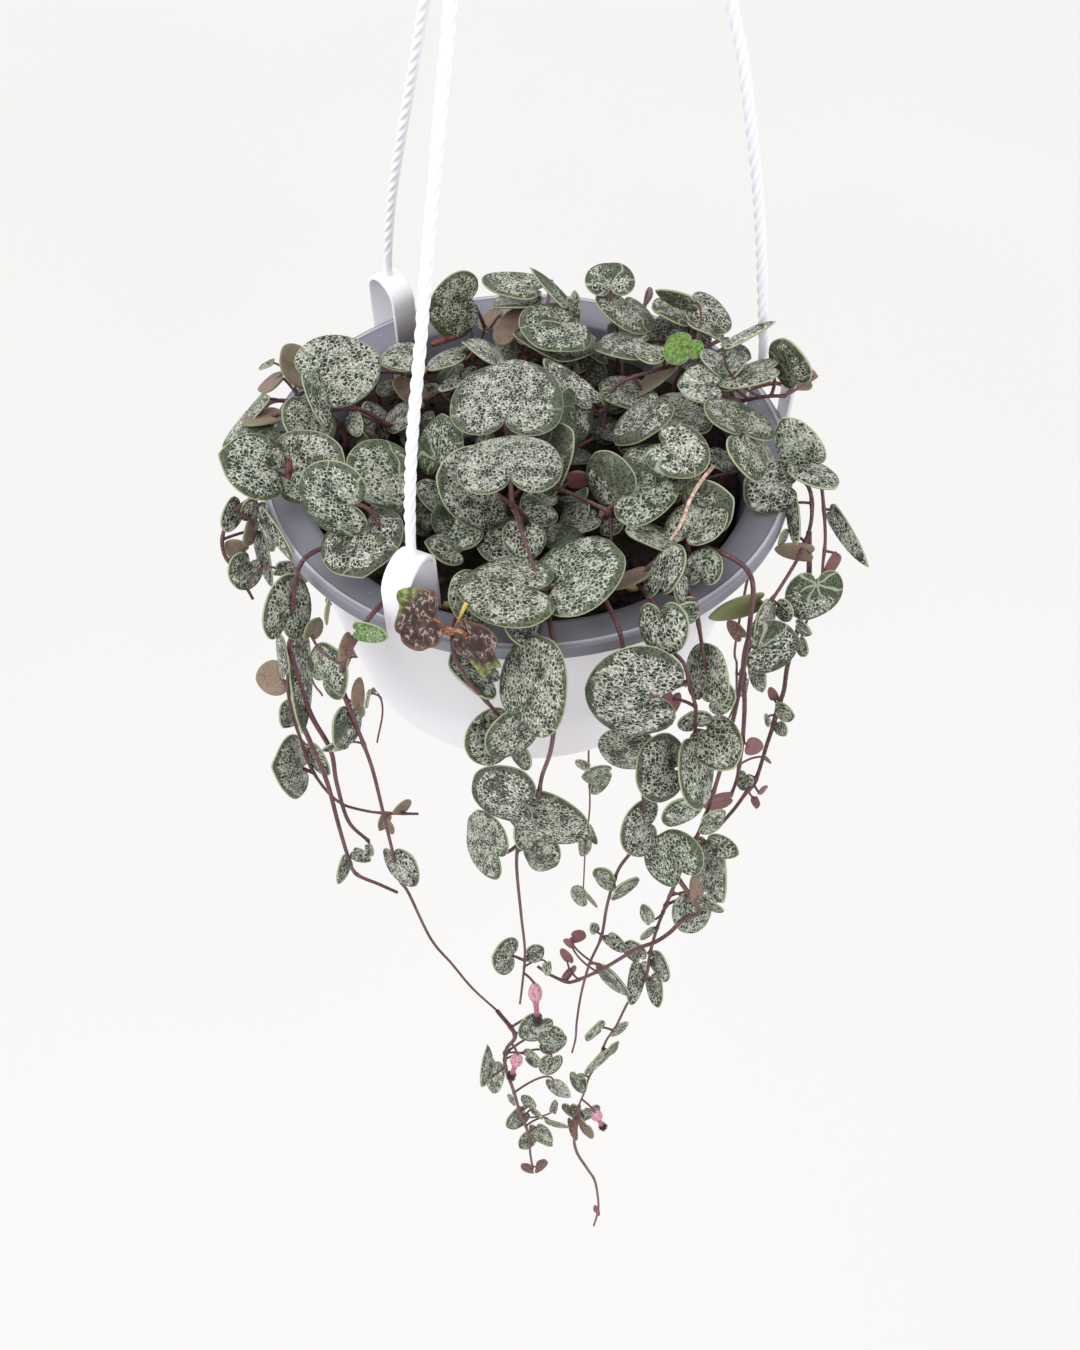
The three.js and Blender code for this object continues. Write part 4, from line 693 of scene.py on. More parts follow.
def leaf_top():
    """Upper side of a succulent leaf: grey-green waxy skin under a net of silver bloom. The
    openings of the net are about a millimetre wide and near-black where they gather. The border
    stays bare and finely wrinkled, inside a thin straw-coloured lip."""
    skin = Finish("leaf_top", roughness=0.5, ior=1.42)
    add = skin.add
    place = add("Attribute", output="Vector", attribute_name="leaf_mm")
    traits = add("SeparateColor", {"Color": add("Attribute", attribute_name="traits")})
    silver, young, veined = traits.node.outputs
    red = add("Attribute", output="Fac", attribute_name="red")
    edge = add("Attribute", output="Fac", attribute_name="rim")
    inset = add("Attribute", output="Fac", attribute_name="inset")
    fine = add("TexNoise", {"Vector": place, "Scale": 1.7, "Detail": 4.0, "Roughness": 0.65})
    clusters = add("TexNoise", {"Vector": place, "Scale": 0.3, "Detail": 3.0})
    patches = add("TexNoise", {"Vector": place, "Scale": 0.14, "Detail": 1.0})
    drift = add("TexNoise", {"Vector": place, "Scale": 0.8, "Detail": 2.0}, output=1)
    drift = add("VectorMath", {"Vector": drift, "Scale": 1.5}, **SCALE)
    bent = add("VectorMath", {0: place, 1: (1.1, 0.8, 1.0), 2: drift}, operation="MULTIPLY_ADD")

    # the bloom: ragged towards the bare border, with a few bare patches
    border = add("MapRange", {"Value": edge, "From Min": 0.78, "From Max": 0.99})
    cover = add("Math", {0: patches, 1: 1.8, 2: fine}, operation="MULTIPLY_ADD")
    cover = add("Math", {0: silver, 1: 0.8, 2: cover}, operation="MULTIPLY_ADD")
    cover = add("Math", {0: border, 1: -0.75, 2: cover}, operation="MULTIPLY_ADD")
    bloom = add("MapRange", {"Value": cover, "From Min": 1.45, "From Max": 1.6}, **SOFT)

    # veins that fan out from the notch, with painted shade along their creases
    across, ahead, _ = add("SeparateXYZ", {"Vector": place}).node.outputs
    fan = add("Math", {0: across, 1: ahead}, operation="ARCTAN2")
    fan = add("Math", {0: patches, 1: 1.2, 2: fan}, operation="MULTIPLY_ADD")
    fan = add("Math", {0: fan, 1: 0.42}, operation="PINGPONG")
    reach = add("VectorMath", {0: place, 1: (1.0, 1.0, 0.0)}, operation="MULTIPLY")
    reach = add("VectorMath", {0: reach}, output=1, operation="LENGTH")
    fan = add("Math", {0: fan, 1: reach}, **MULTIPLY)
    vein = add("MapRange", {"Value": fan, "From Min": 0.4, "From Max": 0.1}, **SOFT)
    lines = add("Math", {0: vein, 1: veined}, **MULTIPLY)
    crease_shade = add("MapRange", {"Value": fan, "From Min": 0.26, "From Max": 0.08, "To Max": 0.55}, **SOFT)

    # the net and its openings
    net = {"Vector": bent, "Scale": 1.02}
    gap = add("TexVoronoi", net, feature="DISTANCE_TO_EDGE")
    gap = add("Math", {0: clusters, 1: 0.5, 2: gap}, operation="MULTIPLY_ADD")
    thread = add("MapRange", {"Value": gap, "From Min": 0.42, "From Max": 0.31}, **SOFT)
    chance = add("SeparateColor", {"Color": add("TexVoronoi", net, output=1)})
    shade = add("Math", {0: clusters, 1: -3.2, 2: chance}, operation="MULTIPLY_ADD")
    shade = add("Math", {0: silver, 1: 0.6, 2: shade}, operation="MULTIPLY_ADD")
    dark = add("MapRange", {"Value": shade, "From Min": -0.5, "From Max": -0.66}, **SOFT)
    filled = add("MapRange", {"Value": shade, "From Min": -0.4, "From Max": 0.1}, **SOFT)

    wrinkle = add("MapRange", {"Value": fine, "From Min": 0.36, "From Max": 0.66}, **SOFT)
    green = add("Mix", {0: wrinkle, 6: "#1c261c", 7: "#454f3a"}, MIXED, **BLEND)
    trace = add("Math", {0: thread, 1: 0.22, 2: lines}, operation="MULTIPLY_ADD")
    green = add("Mix", {0: trace, 6: green, 7: "#a0a892"}, MIXED, **BLEND)
    mesh = add("Mix", {0: filled, 6: "#364133", 7: "#797f6f"}, MIXED, **BLEND)
    mesh = add("Mix", {0: dark, 6: mesh, 7: "#131c16"}, MIXED, **BLEND)
    frost = add("Mix", {0: wrinkle, 6: "#85897b", 7: "#dadbd0"}, MIXED, **BLEND)
    face = add("Mix", {0: thread, 6: mesh, 7: frost}, MIXED, **BLEND)
    # painted shade: a darker line along the vein creases
    face = add("Mix", {0: crease_shade, 6: face, 7: "#3c4a3a"}, MIXED, **BLEND)
    face = add("Mix", {0: bloom, 6: green, 7: face}, MIXED, **BLEND)
    fresh = add("Mix", {0: wrinkle, 6: "#3f6420", 7: "#7fa544"}, MIXED, **BLEND)
    face = add("Mix", {0: young, 6: face, 7: fresh}, MIXED, **BLEND)
    lip = add("MapRange", {"Value": inset, "From Min": 0.24, "From Max": 0.1}, **SOFT)
    face = add("Mix", {0: lip, 6: face, 7: "#aab190"}, MIXED, **BLEND)
    ruddy = add("Mix", {0: wrinkle, 6: "#4d2a2b", 7: "#84564a"}, MIXED, **BLEND)
    face = add("Mix", {0: red, 6: face, 7: ruddy}, MIXED, **BLEND)
    # painted shade: the low leaves are darkened towards a near-black green, as if shaded by the leaves
    # above
    painted_shade = add("Attribute", output="Fac", attribute_name="tint")
    face = add("Mix", {0: painted_shade, 6: face, 7: "#1e271f"}, MIXED, **BLEND)
    height = add("Math", {0: bloom, 1: fine}, **ADD)
    return skin.surface(face, height, 0.3, 0.12)


def leaf_under():
    """Underside of a leaf: waxy skin without bloom, tan to dusty purple, greener at its edge."""
    skin = Finish("leaf_under", roughness=0.48, ior=1.42)
    add = skin.add
    place = add("Attribute", output="Vector", attribute_name="leaf_mm")
    traits = add("SeparateColor", {"Color": add("Attribute", attribute_name="traits")})
    silver, young, _ = traits.node.outputs
    red = add("Attribute", output="Fac", attribute_name="red")
    edge = add("Attribute", output="Fac", attribute_name="rim")
    blush = add("TexNoise", {"Vector": place, "Scale": 0.22, "Detail": 3.0})
    grain = add("TexNoise", {"Vector": place, "Scale": 1.7, "Detail": 4.0, "Roughness": 0.6})
    patch = add("MapRange", {"Value": blush, "From Min": 0.4, "From Max": 0.6}, **SOFT)
    face = add("Mix", {0: patch, 6: "#56523e", 7: "#84665c"}, MIXED, **BLEND)
    pale = add("Math", {0: silver, 1: 0.6}, **MULTIPLY)
    face = add("Mix", {0: pale, 6: face, 7: "#a08c7c"}, MIXED, **BLEND)
    spots = add("MapRange", {"Value": grain, "From Min": 0.5, "From Max": 0.62}, **SOFT)
    spots = add("Math", {0: spots, 1: 0.55}, **MULTIPLY)
    face = add("Mix", {0: spots, 6: face, 7: "#474a35"}, MIXED, **BLEND)
    face = add("Mix", {0: young, 6: face, 7: "#7f9a4c"}, MIXED, **BLEND)
    border = add("MapRange", {"Value": edge, "From Min": 0.86, "From Max": 1.0}, **SOFT)
    face = add("Mix", {0: border, 6: face, 7: "#80805a"}, MIXED, **BLEND)
    ruddy = add("Mix", {0: blush, 6: "#6b343c", 7: "#96616a"}, MIXED, **BLEND)
    face = add("Mix", {0: red, 6: face, 7: ruddy}, MIXED, **BLEND)
    return skin.surface(face, grain, 0.25, 0.08)


def stem_skin():
    """Wiry stem: smooth purple-brown skin, paler and pinker in places, finely pitted."""
    skin = Finish("stem_skin", roughness=0.45, ior=1.45)
    add = skin.add
    place = skin.millimetres()
    blush = add("TexNoise", {"Vector": place, "Scale": 0.09, "Detail": 2.0})
    blush = add("MapRange", {"Value": blush, "From Min": 0.35, "From Max": 0.65}, **SOFT)
    pits = add("TexNoise", {"Vector": place, "Scale": 2.0, "Detail": 3.0})
    face = add("Mix", {0: blush, 6: "#492b31", 7: "#694448"}, MIXED, **BLEND)
    pale = add("MapRange", {"Value": pits, "From Min": 0.5, "From Max": 0.75}, **SOFT)
    face = add("Mix", {0: pale, 6: face, 7: "#8c6866"}, MIXED, **BLEND)
    return skin.surface(face, pits, 0.35, 0.1)


def dried_skin():
    """Withered leaf: dark brown parchment, puckered, with tan flecks, a rusty edge and some green
    left beside the tip."""
    skin = Finish("dried_skin", roughness=0.55, ior=1.45)
    add = skin.add
    place = add("Attribute", output="Vector", attribute_name="leaf_mm")
    edge = add("Attribute", output="Fac", attribute_name="rim")
    green = add("Attribute", output="Fac", attribute_name="along")
    pucker = add("TexNoise", {"Vector": place, "Scale": 0.55, "Detail": 4.0, "Roughness": 0.6})
    drift = add("TexNoise", {"Vector": place, "Scale": 0.9, "Detail": 2.0}, output=1)
    drift = add("VectorMath", {"Vector": drift, "Scale": 1.6}, **SCALE)
    bent = add("VectorMath", {0: place, 1: drift}, **ADD)
    flecks = add("TexVoronoi", {"Vector": bent, "Scale": 0.7}, feature="DISTANCE_TO_EDGE")
    shade = add("MapRange", {"Value": pucker, "From Min": 0.36, "From Max": 0.62}, **SOFT)
    face = add("Mix", {0: shade, 6: "#2a1a18", 7: "#4d3730"}, MIXED, **BLEND)
    fleck = add("Math", {0: pucker, 1: -0.9, 2: flecks}, operation="MULTIPLY_ADD")
    fleck = add("MapRange", {"Value": fleck, "From Min": -0.4, "From Max": -0.48}, **SOFT)
    face = add("Mix", {0: fleck, 6: face, 7: "#a08e83"}, MIXED, **BLEND)
    rust = add("MapRange", {"Value": edge, "From Min": 0.86, "From Max": 1.0}, **SOFT)
    face = add("Mix", {0: rust, 6: face, 7: "#6f4a3c"}, MIXED, **BLEND)
    left = add("Mix", {0: shade, 6: "#4d5f2a", 7: "#93a458"}, MIXED, **BLEND)
    face = add("Mix", {0: green, 6: face, 7: left}, MIXED, **BLEND)
    return skin.surface(face, pucker, 0.9, 0.6)


def straw_skin():
    """Dried stalk: fibrous, rusty pink to tan, with fine splits along it; its bare end is yellow."""
    skin = Finish("straw_skin", roughness=0.6, ior=1.45)
    add = skin.add
    place = skin.millimetres()
    bare = add("Attribute", output="Fac", attribute_name="tint")
    split = add("TexNoise", {"Vector": place, "Scale": 1.1, "Detail": 4.0, "Roughness": 0.6})
    tone = add("MapRange", {"Value": split, "From Min": 0.35, "From Max": 0.65}, **SOFT)
    face = add("Mix", {0: tone, 6: "#7e4436", 7: "#c98d64"}, MIXED, **BLEND)
    face = add("Mix", {0: bare, 6: face, 7: "#dcc462"}, MIXED, **BLEND)
    return skin.surface(face, split, 0.5, 0.15)


def dry_strap_skin():
    """Dead flat stalk lying over the leaves: bleached pinkish straw."""
    skin = Finish("dry_strap_skin", roughness=0.55, ior=1.45)
    add = skin.add
    place = skin.millimetres()
    split = add("TexNoise", {"Vector": place, "Scale": 0.9, "Detail": 4.0, "Roughness": 0.6})
    tone = add("MapRange", {"Value": split, "From Min": 0.4, "From Max": 0.62}, **SOFT)
    face = add("Mix", {0: tone, 6: "#ab8579", 7: "#dfc5b8"}, MIXED, **BLEND)
    return skin.surface(face, split, 0.4, 0.12)


def bud_skin():
    """Rolled young leaf: waxy crimson-brown."""
    skin = Finish("bud_skin", roughness=0.42, ior=1.42)
    add = skin.add
    place = skin.millimetres()
    blush = add("TexNoise", {"Vector": place, "Scale": 0.6, "Detail": 3.0})
    tone = add("MapRange", {"Value": blush, "From Min": 0.35, "From Max": 0.65}, **SOFT)
    face = add("Mix", {0: tone, 6: "#451820", 7: "#6d3a2f"}, MIXED, **BLEND)
    return skin.surface(face, blush, 0.3, 0.15)


def petal_skin():
    """Lantern flower: waxy pink bulb and tube, nearly black at the hairy tip."""
    skin = Finish("petal_skin", roughness=0.5, ior=1.42)
    add = skin.add
    along = add("Attribute", output="Fac", attribute_name="along")
    streaks = add("TexNoise", {"Vector": skin.millimetres(), "Scale": 1.6, "Detail": 3.0})
    tube = add("MapRange", {"Value": along, "From Min": 0.15, "From Max": 0.45}, **SOFT)
    face = add("Mix", {0: tube, 6: "#cf9fab", 7: "#b3667f"}, MIXED, **BLEND)
    streak = add("MapRange", {"Value": streaks, "From Min": 0.48, "From Max": 0.66}, **SOFT)
    face = add("Mix", {0: streak, 6: face, 7: "#96486a"}, MIXED, **BLEND)
    lantern = add("MapRange", {"Value": along, "From Min": 0.6, "From Max": 0.72}, **SOFT)
    face = add("Mix", {0: lantern, 6: face, 7: "#261017"}, MIXED, **BLEND)
    return skin.surface(face, streaks, 0.3, 0.1)


def white_plastic():
    """Moulded polypropylene, white with a cool tint: satin, with slow sink marks and faint scuffs."""
    shell = Finish("white_plastic", roughness=0.32, ior=1.49)
    add = shell.add
    place = shell.millimetres()
    sink = add("TexNoise", {"Vector": place, "Scale": 0.035, "Detail": 2.0})
    scuff = add("TexNoise", {"Vector": place, "Scale": 0.9, "Detail": 5.0, "Roughness": 0.65})
    face = add("Mix", {0: sink, 6: "#faf9fe", 7: "#f3f1fa"}, MIXED, **BLEND)
    worn = add("MapRange", {"Value": scuff, "To Min": 0.27, "To Max": 0.42})
    return shell.surface(face, sink, 0.25, 0.5, Roughness=worn)


def grey_plastic():
    """Grow pot of recycled polypropylene: satin grey, dusty, with pale specks and a painted highlight
    along the bead of its rim.
    """
    shell = Finish("grey_plastic", roughness=0.45, ior=1.49)
    add = shell.add
    place = shell.millimetres()
    cloud = add("TexNoise", {"Vector": place, "Scale": 0.07, "Detail": 3.0})
    dust = add("TexNoise", {"Vector": place, "Scale": 1.3, "Detail": 5.0, "Roughness": 0.65})
    speck = add("TexVoronoi", {"Vector": place, "Scale": 0.26})
    speck = add("MapRange", {"Value": speck, "From Min": 0.08, "From Max": 0.04}, **SOFT)
    bead_highlight = add("Attribute", output="Fac", attribute_name="rim")
    face = add("Mix", {0: cloud, 6: "#7b7c88", 7: "#8c8d99"}, MIXED, **BLEND)
    dull = add("MapRange", {"Value": dust, "From Min": 0.5, "From Max": 0.75}, **SOFT)
    dull = add("Math", {0: dull, 1: 0.4}, **MULTIPLY)
    face = add("Mix", {0: dull, 6: face, 7: "#92939c"}, MIXED, **BLEND)
    face = add("Mix", {0: speck, 6: face, 7: "#b3b3bb"}, MIXED, **BLEND)
    # painted highlight: a pale line along the rounded bead of the rim, read from the rim attribute
    face = add("Mix", {0: bead_highlight, 6: face, 7: "#c9cad4"}, MIXED, **BLEND)
    worn = add("MapRange", {"Value": dust, "To Min": 0.36, "To Max": 0.56})
    return shell.surface(face, dust, 0.2, 0.08, Roughness=worn)


def potting_soil():
    """Moist peat and bark: nearly black crumbs, brown bark and a few tan fibres."""
    mix = Finish("potting_soil", roughness=0.8, ior=1.4)
    add = mix.add
    tint = add("Attribute", output="Fac", attribute_name="tint")
    crumb = {"Vector": mix.millimetres(), "Scale": 0.9, "Detail": 6.0, "Roughness": 0.7}
    crumb = add("TexNoise", crumb)
    tone = add("MapRange", {"Value": crumb, "From Min": 0.35, "From Max": 0.7}, **SOFT)
    peat = add("Mix", {0: tone, 6: "#15100f", 7: "#3b2c26"}, MIXED, **BLEND)
    bark = add("Mix", {0: tone, 6: "#3a271d", 7: "#7d5d46"}, MIXED, **BLEND)
    face = add("Mix", {0: tint, 6: peat, 7: bark}, MIXED, **BLEND)
    return mix.surface(face, crumb, 0.9, 0.5)


def prill_coat():
    """Fertiliser prill: a resin shell, tan and waxy."""
    shell = Finish("prill_coat", roughness=0.4, ior=1.5)
    add = shell.add
    cloud = add("TexNoise", {"Vector": shell.millimetres(), "Scale": 1.5, "Detail": 3.0})
    face = add("Mix", {0: cloud, 6: "#a98b52", 7: "#dcc794"}, MIXED, **BLEND)
    return shell.surface(face, cloud, 0.3, 0.1)


def studio_paper():
    """Seamless paper: matt, warm white, with the slightest unevenness."""
    paper = Finish("studio_paper", roughness=0.9, ior=1.5)
    add = paper.add
    place = add("TexCoord", output="Object")
    cloud = add("TexNoise", {"Vector": place, "Scale": 0.5, "Detail": 2.0})
    face = add("Mix", {0: cloud, 6: "#f1f0ef", 7: "#f5f4f3"}, MIXED, **BLEND)
    return paper.surface(face, cloud, 0.1, 0.1)


# ---- meshes ------------------------------------------------------------------------------------
# Attributes of one number at each point: how near to the edge (0 to 1), how far inside it in
# millimetres, how maroon, how far along a flower, how much painted shade darkens a low leaf, and how
# barky a crumb is.
SINGLE = ("rim", "inset", "red", "along", "tint")


class Piece:
    """Vertices, faces and their attributes, gathered until they become one object."""

    def __init__(self):
        self.points = []
        self.faces = []
        self.looks = []
        self.own = {key: [] for key in ("leaf_mm", "traits", *SINGLE)}
        self.count = 0

    def add(self, points, faces, look, leaf_mm=None, traits=(0, 0, 0), **single):
        """Takes up a mesh, with the number of its material and what its points carry."""
        n = len(points)
        first = self.count
        self.points.append(np.asarray(points, float))
        self.faces.extend(tuple(int(i) + first for i in f) for f in faces)
        self.looks.extend([look] * len(faces) if isinstance(look, int) else look)
        self.own["leaf_mm"].append(self.points[-1] if leaf_mm is None else leaf_mm)
        self.own["traits"].append(np.broadcast_to((*traits, 1.0), (n, 4)))
        for key in SINGLE:
            self.own[key].append(np.broadcast_to(single.get(key, 0.0), (n,)))
        self.count += n

    def build(self, name, materials, slot, *nodes, drop=RIM_DROP, smooth=True):
        """Makes the object and tells the frame what it rides on and replaces."""
        mesh = bpy.data.meshes.new(name)
        points = np.vstack(self.points)
        points = (points - (0, 0, drop)) * MM
        mesh.from_pydata(points.tolist(), [], self.faces)
        kinds = {"leaf_mm": "FLOAT_VECTOR", "traits": "FLOAT_COLOR"}
        for key, chunks in self.own.items():
            kind = kinds.get(key, "FLOAT")
            data = np.concatenate(chunks).astype(np.float32)
            layer = mesh.attributes.new(key, kind, "POINT")
            field = {"FLOAT_VECTOR": "vector", "FLOAT_COLOR": "color"}.get(kind, "value")
            layer.data.foreach_set(field, data.ravel())
        for material in materials:
            mesh.materials.append(material)
        mesh.polygons.foreach_set("material_index", self.looks)
        mesh.polygons.foreach_set("use_smooth", [smooth] * len(self.faces))
        mesh.validate()
        mesh.update()
        obj = bpy.data.objects.new(name, mesh)
        bpy.context.scene.collection.objects.link(obj)
        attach(obj, BODY)
        if nodes:
            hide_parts(*nodes)
        return obj


def smooth_path(points, step):
    """Points of a smooth curve through the given ones, about "step" apart."""
    p = [np.asarray(q, float) for q in points]
    if len(p) < 3:
        count = max(2, int(np.linalg.norm(p[1] - p[0]) / step) + 1)
        return np.linspace(p[0], p[1], count)
    p = [2 * p[0] - p[1], *p, 2 * p[-1] - p[-2]]
    out = []
    for a, b, c, d in zip(p, p[1:], p[2:], p[3:]):
        count = max(1, int(round(np.linalg.norm(c - b) / step)))
        for i in range(count):
            t = i / count
            out.append(
                0.5 * (2 * b + (c - a) * t + (2 * a - 5 * b + 4 * c - d) * t * t
                       + (3 * b - a - 3 * c + d) * t ** 3)
            )
    out.append(p[-2])
    return np.array(out)


def run_along(path):
    """How far along the path each of its points lies."""
    return np.concatenate([[0], np.cumsum(np.linalg.norm(np.diff(path, axis=0), axis=1))])


def frames_along(path):
    """A direction and two cross directions at each point, carried along without twist."""
    ahead = np.gradient(path, axis=0)
    ahead /= np.linalg.norm(ahead, axis=1)[:, None] + 1e-12
    side = np.cross(ahead[0], (0.0, 0.0, 1.0))
    if np.linalg.norm(side) < 0.2:
        side = np.cross(ahead[0], (1.0, 0.0, 0.0))
    sides = []
    for a in ahead:
        side = side - a * side.dot(a)
        side = side / np.linalg.norm(side)
        sides.append(side)
    sides = np.array(sides)
    return ahead, sides, np.cross(ahead, sides)


def spokes(side, other, angle):
    """Directions out of each point of a path, one for each angle round it."""
    across = side[:, None] * np.cos(angle)[None, :, None]
    return across + other[:, None] * np.sin(angle)[None, :, None]


def bands(rings, around):
    """Faces between rings of points that follow one another."""
    faces = []
    for i in range(rings - 1):
        for k in range(around):
            n = (k + 1) % around
            low, high = i * around, (i + 1) * around
            faces.append((low + k, low + n, high + n, high + k))
    return faces


def tube(path, radii, around, flat=1.0):
    """A tube with closed ends, round unless "flat" thins it one way."""
    _, side, other = frames_along(path)
    angle = np.linspace(0, 2 * math.pi, around, endpoint=False)
    radii = np.broadcast_to(radii, (len(path),))
    rings = path[:, None] + spokes(side, other * flat, angle) * radii[:, None, None]
    points = rings.reshape(-1, 3)
    return np.vstack([points, path[:1], path[-1:]]), tube_faces(len(path), around)


def tube_faces(rings, around):
    """Faces of a tube, its closed ends included."""
    faces = bands(rings, around)
    first, last = rings * around, rings * around + 1
    for k in range(around):
        n = (k + 1) % around
        faces.append((first, n, k))
        faces.append((last, (rings - 1) * around + k, (rings - 1) * around + n))
    return faces


# Half of a heart, from the notch round one lobe to the tip, in leaf widths.
HALF_HEART = [
    (0, 0), (0.03, -0.09), (0.11, -0.18), (0.23, -0.21), (0.35, -0.165), (0.45, -0.04),
    (0.5, 0.12), (0.48, 0.3), (0.4, 0.46), (0.28, 0.575), (0.14, 0.64), (0, 0.66),
]
HEART_LENGTH = 0.66
HEART_MIDDLE = 0.24
CUP = 0.05


def heart_grid(around, rings):
    """Template of a blade: (u, v, t) of its points, t being 0 in the middle and 1 at the edge."""
    right = smooth_path([(*q, 0) for q in HALF_HEART], 0.01)[:, :2]
    left = right[-2:0:-1] * (-1, 1)
    fine = np.vstack([right, left, right[:1]])
    run = run_along(fine)
    at = np.linspace(0, run[-1], around, endpoint=False)
    edge = np.stack([np.interp(at, run, fine[:, i]) for i in (0, 1)], axis=1)
    middle = np.array([0, HEART_MIDDLE - 0.04])
    grid = [[*middle, 0.0]]
    for t in rings:
        for p in edge:
            grid.append([*(middle + (p - middle) * t), t])
    return np.array(grid)


def heart_faces(around, rings):
    """Faces of the upper side, then of the underside, which shares the outermost ring."""
    ring = lambda i, k: 1 + i * around + k % around
    top = [(0, ring(0, k), ring(0, k + 1)) for k in range(around)]
    for i in range(rings - 1):
        top += [
            (ring(i, k), ring(i + 1, k), ring(i + 1, k + 1), ring(i, k + 1)) for k in range(around)
        ]
    shift = 1 + rings * around
    low = lambda i, k: ring(i, k) if i == rings - 1 else shift + 1 + i * around + k % around
    under = [(shift, low(0, k + 1), low(0, k)) for k in range(around)]
    for i in range(rings - 1):
        under += [
            (low(i, k), low(i, k + 1), low(i + 1, k + 1), low(i + 1, k)) for k in range(around)
        ]
    return top, under


BIG_RINGS = (0.16, 0.34, 0.52, 0.68, 0.81, 0.91, 0.97, 1.0)
SMALL_RINGS = (0.3, 0.6, 0.82, 0.94, 1.0)
LOW_RINGS = (0.32, 0.64, 0.87, 1.0)
TEMPLATES = {}
BLADE_GRIDS = {"big": (40, BIG_RINGS), "small": (26, SMALL_RINGS), "low": (24, LOW_RINGS)}
for size, (around, rings) in BLADE_GRIDS.items():
    TEMPLATES[size] = (heart_grid(around, rings), heart_faces(around, len(rings)), around)


def leaf_frame(row):
    """Where a leaf of the lists is, how big, and its three directions."""
    x, y, z, width, tip, face, lean = row[:7]
    length = row[7] if len(row) > 7 else 0.7
    face, tip = math.radians(face), math.radians(tip)
    axis = Vector((-math.sin(face), math.cos(face), 0))
    turn = Matrix.Rotation(math.radians(lean), 3, axis)
    ahead = turn @ Vector((math.cos(tip), math.sin(tip), 0))
    up = turn @ Vector((0, 0, 1))
    across = ahead.cross(up)
    return np.array((x, y, z)), width, length, *map(np.array, (across, ahead, up))


def add_blade(piece, row, seed, looks, crumple=0.0, frost=(0.4, 0.75), painted_shade=0.0, size=None):
    """One heart-shaped blade, with its own wave, fold and thickness."""
    origin, width, length, across, ahead, up = leaf_frame(row)
    draw = random.Random(seed)
    grid, (top, under), around = TEMPLATES[size or ("big" if width >= 9 else "small")]
    u, v, t = grid.T
    angle = np.arctan2(u, v - HEART_MIDDLE)
    phase = draw.uniform(0, 6.28)
    lobes = 1 + 0.02 * t * np.sin(2 * angle + phase)
    v = np.where((v > 0.42) & (crumple > 0), 0.42 + (v - 0.42) * 0.5, v)
    lobes += crumple * t ** 2 * (1.1 * np.abs(np.sin(2.5 * angle + phase)) ** 0.6 - 0.8)
    u = u * lobes * (1 + 0.04 * draw.uniform(-1, 1) * np.sign(u))
    v = v * lobes + 0.05 * draw.uniform(-0.6, 1) * np.exp(-((u / 0.12) ** 2)) * t ** 3 * (v > 0.3)
    bow = -4 * CUP * draw.uniform(0.5, 1.5) * (u ** 2 + (v - HEART_MIDDLE) ** 2)
    bow += draw.uniform(-0.05, 0.16) * np.abs(u) ** 1.3
    bow -= draw.uniform(0, 0.35) * np.clip(v - 0.3, 0, None) ** 2
    bow += draw.uniform(0, 0.3) * np.clip(-v, 0, None)
    bow += draw.uniform(0.008, 0.02) * t ** 2 * np.sin(3 * angle + phase)
    bow += crumple * t * (0.35 * np.sin(4 * angle + 2 * phase) + 0.5 * t ** 4)
    bow -= 0.014 * np.exp(-((u / 0.04) ** 2)) * (1 - t ** 4) * (v > -0.02)
    half = 0.5 * min(BLADE_THICK, 0.07 * width + 0.4) * np.sqrt(np.clip(1 - t ** 8, 0, 1))
    if crumple:
        half = half * 0.4
    stretch = np.where(v > 0, length / HEART_LENGTH, 1.0)
    flat = origin + width * (u[:, None] * across + (v * stretch)[:, None] * ahead)
    above = flat + (bow * width + half)[:, None] * up
    below = flat + (bow * width - half)[:, None] * up
    inner = len(grid) - around
    points = np.vstack([above, below[:inner]])
    t = np.concatenate([t, t[:inner]])
    local = np.stack([u, v * stretch, np.full(len(u), 37.0 * (seed % 91) / width)], axis=1) * width
    local = np.vstack([local, local[:inner] + (0, 0, 5)])
    key = tuple(row[:3])
    silver = draw.uniform(*frost)
    silver = 1.0 if key in PALE else 0.05 if key in PLAIN else silver
    silver = 0.3 if key in VEINED else silver
    young = draw.uniform(0, 0.2) ** 1.5
    young = 0.95 if key in YOUNG else 0.6 if key in GREENER else young
    red = 0.85 if key in MAROON else draw.uniform(0, 0.3) ** 2
    veined = draw.uniform(0, 0.6)
    veined = 1.0 if key in VEINED else veined
    looks = [looks[0]] * len(top) + [looks[1]] * len(under)
    inset = (1 - t) * width * 0.45
    traits = (silver, young, veined)
    # what is still green on a withered leaf: a part of the edge beside its tip
    fresh = np.clip((local[:, 1] / width - 0.6 + 0.9 * local[:, 0] / width) / 0.12, 0, 1)
    fresh = fresh * np.clip((t - 0.6) / 0.2, 0, 0.8)
    # tint carries the painted shade that darkens a leaf
    single = {"rim": t, "inset": inset, "red": red, "along": fresh, "tint": painted_shade}
    piece.add(points, top + under, looks, local, traits, **single)
    return origin - 0.3 * half[0] * up, width, ahead, up


def closest(stems, point):
    """The nearest point among the stems' points: which stem, which index, and where."""
    best = None
    for s, path in enumerate(stems):
        gap = np.linalg.norm(path - point, axis=1)
        i = int(gap.argmin())
        if best is None or gap[i] < best[0]:
            best = (gap[i], s, i)
    return best[1], best[2], stems[best[1]][best[2]]


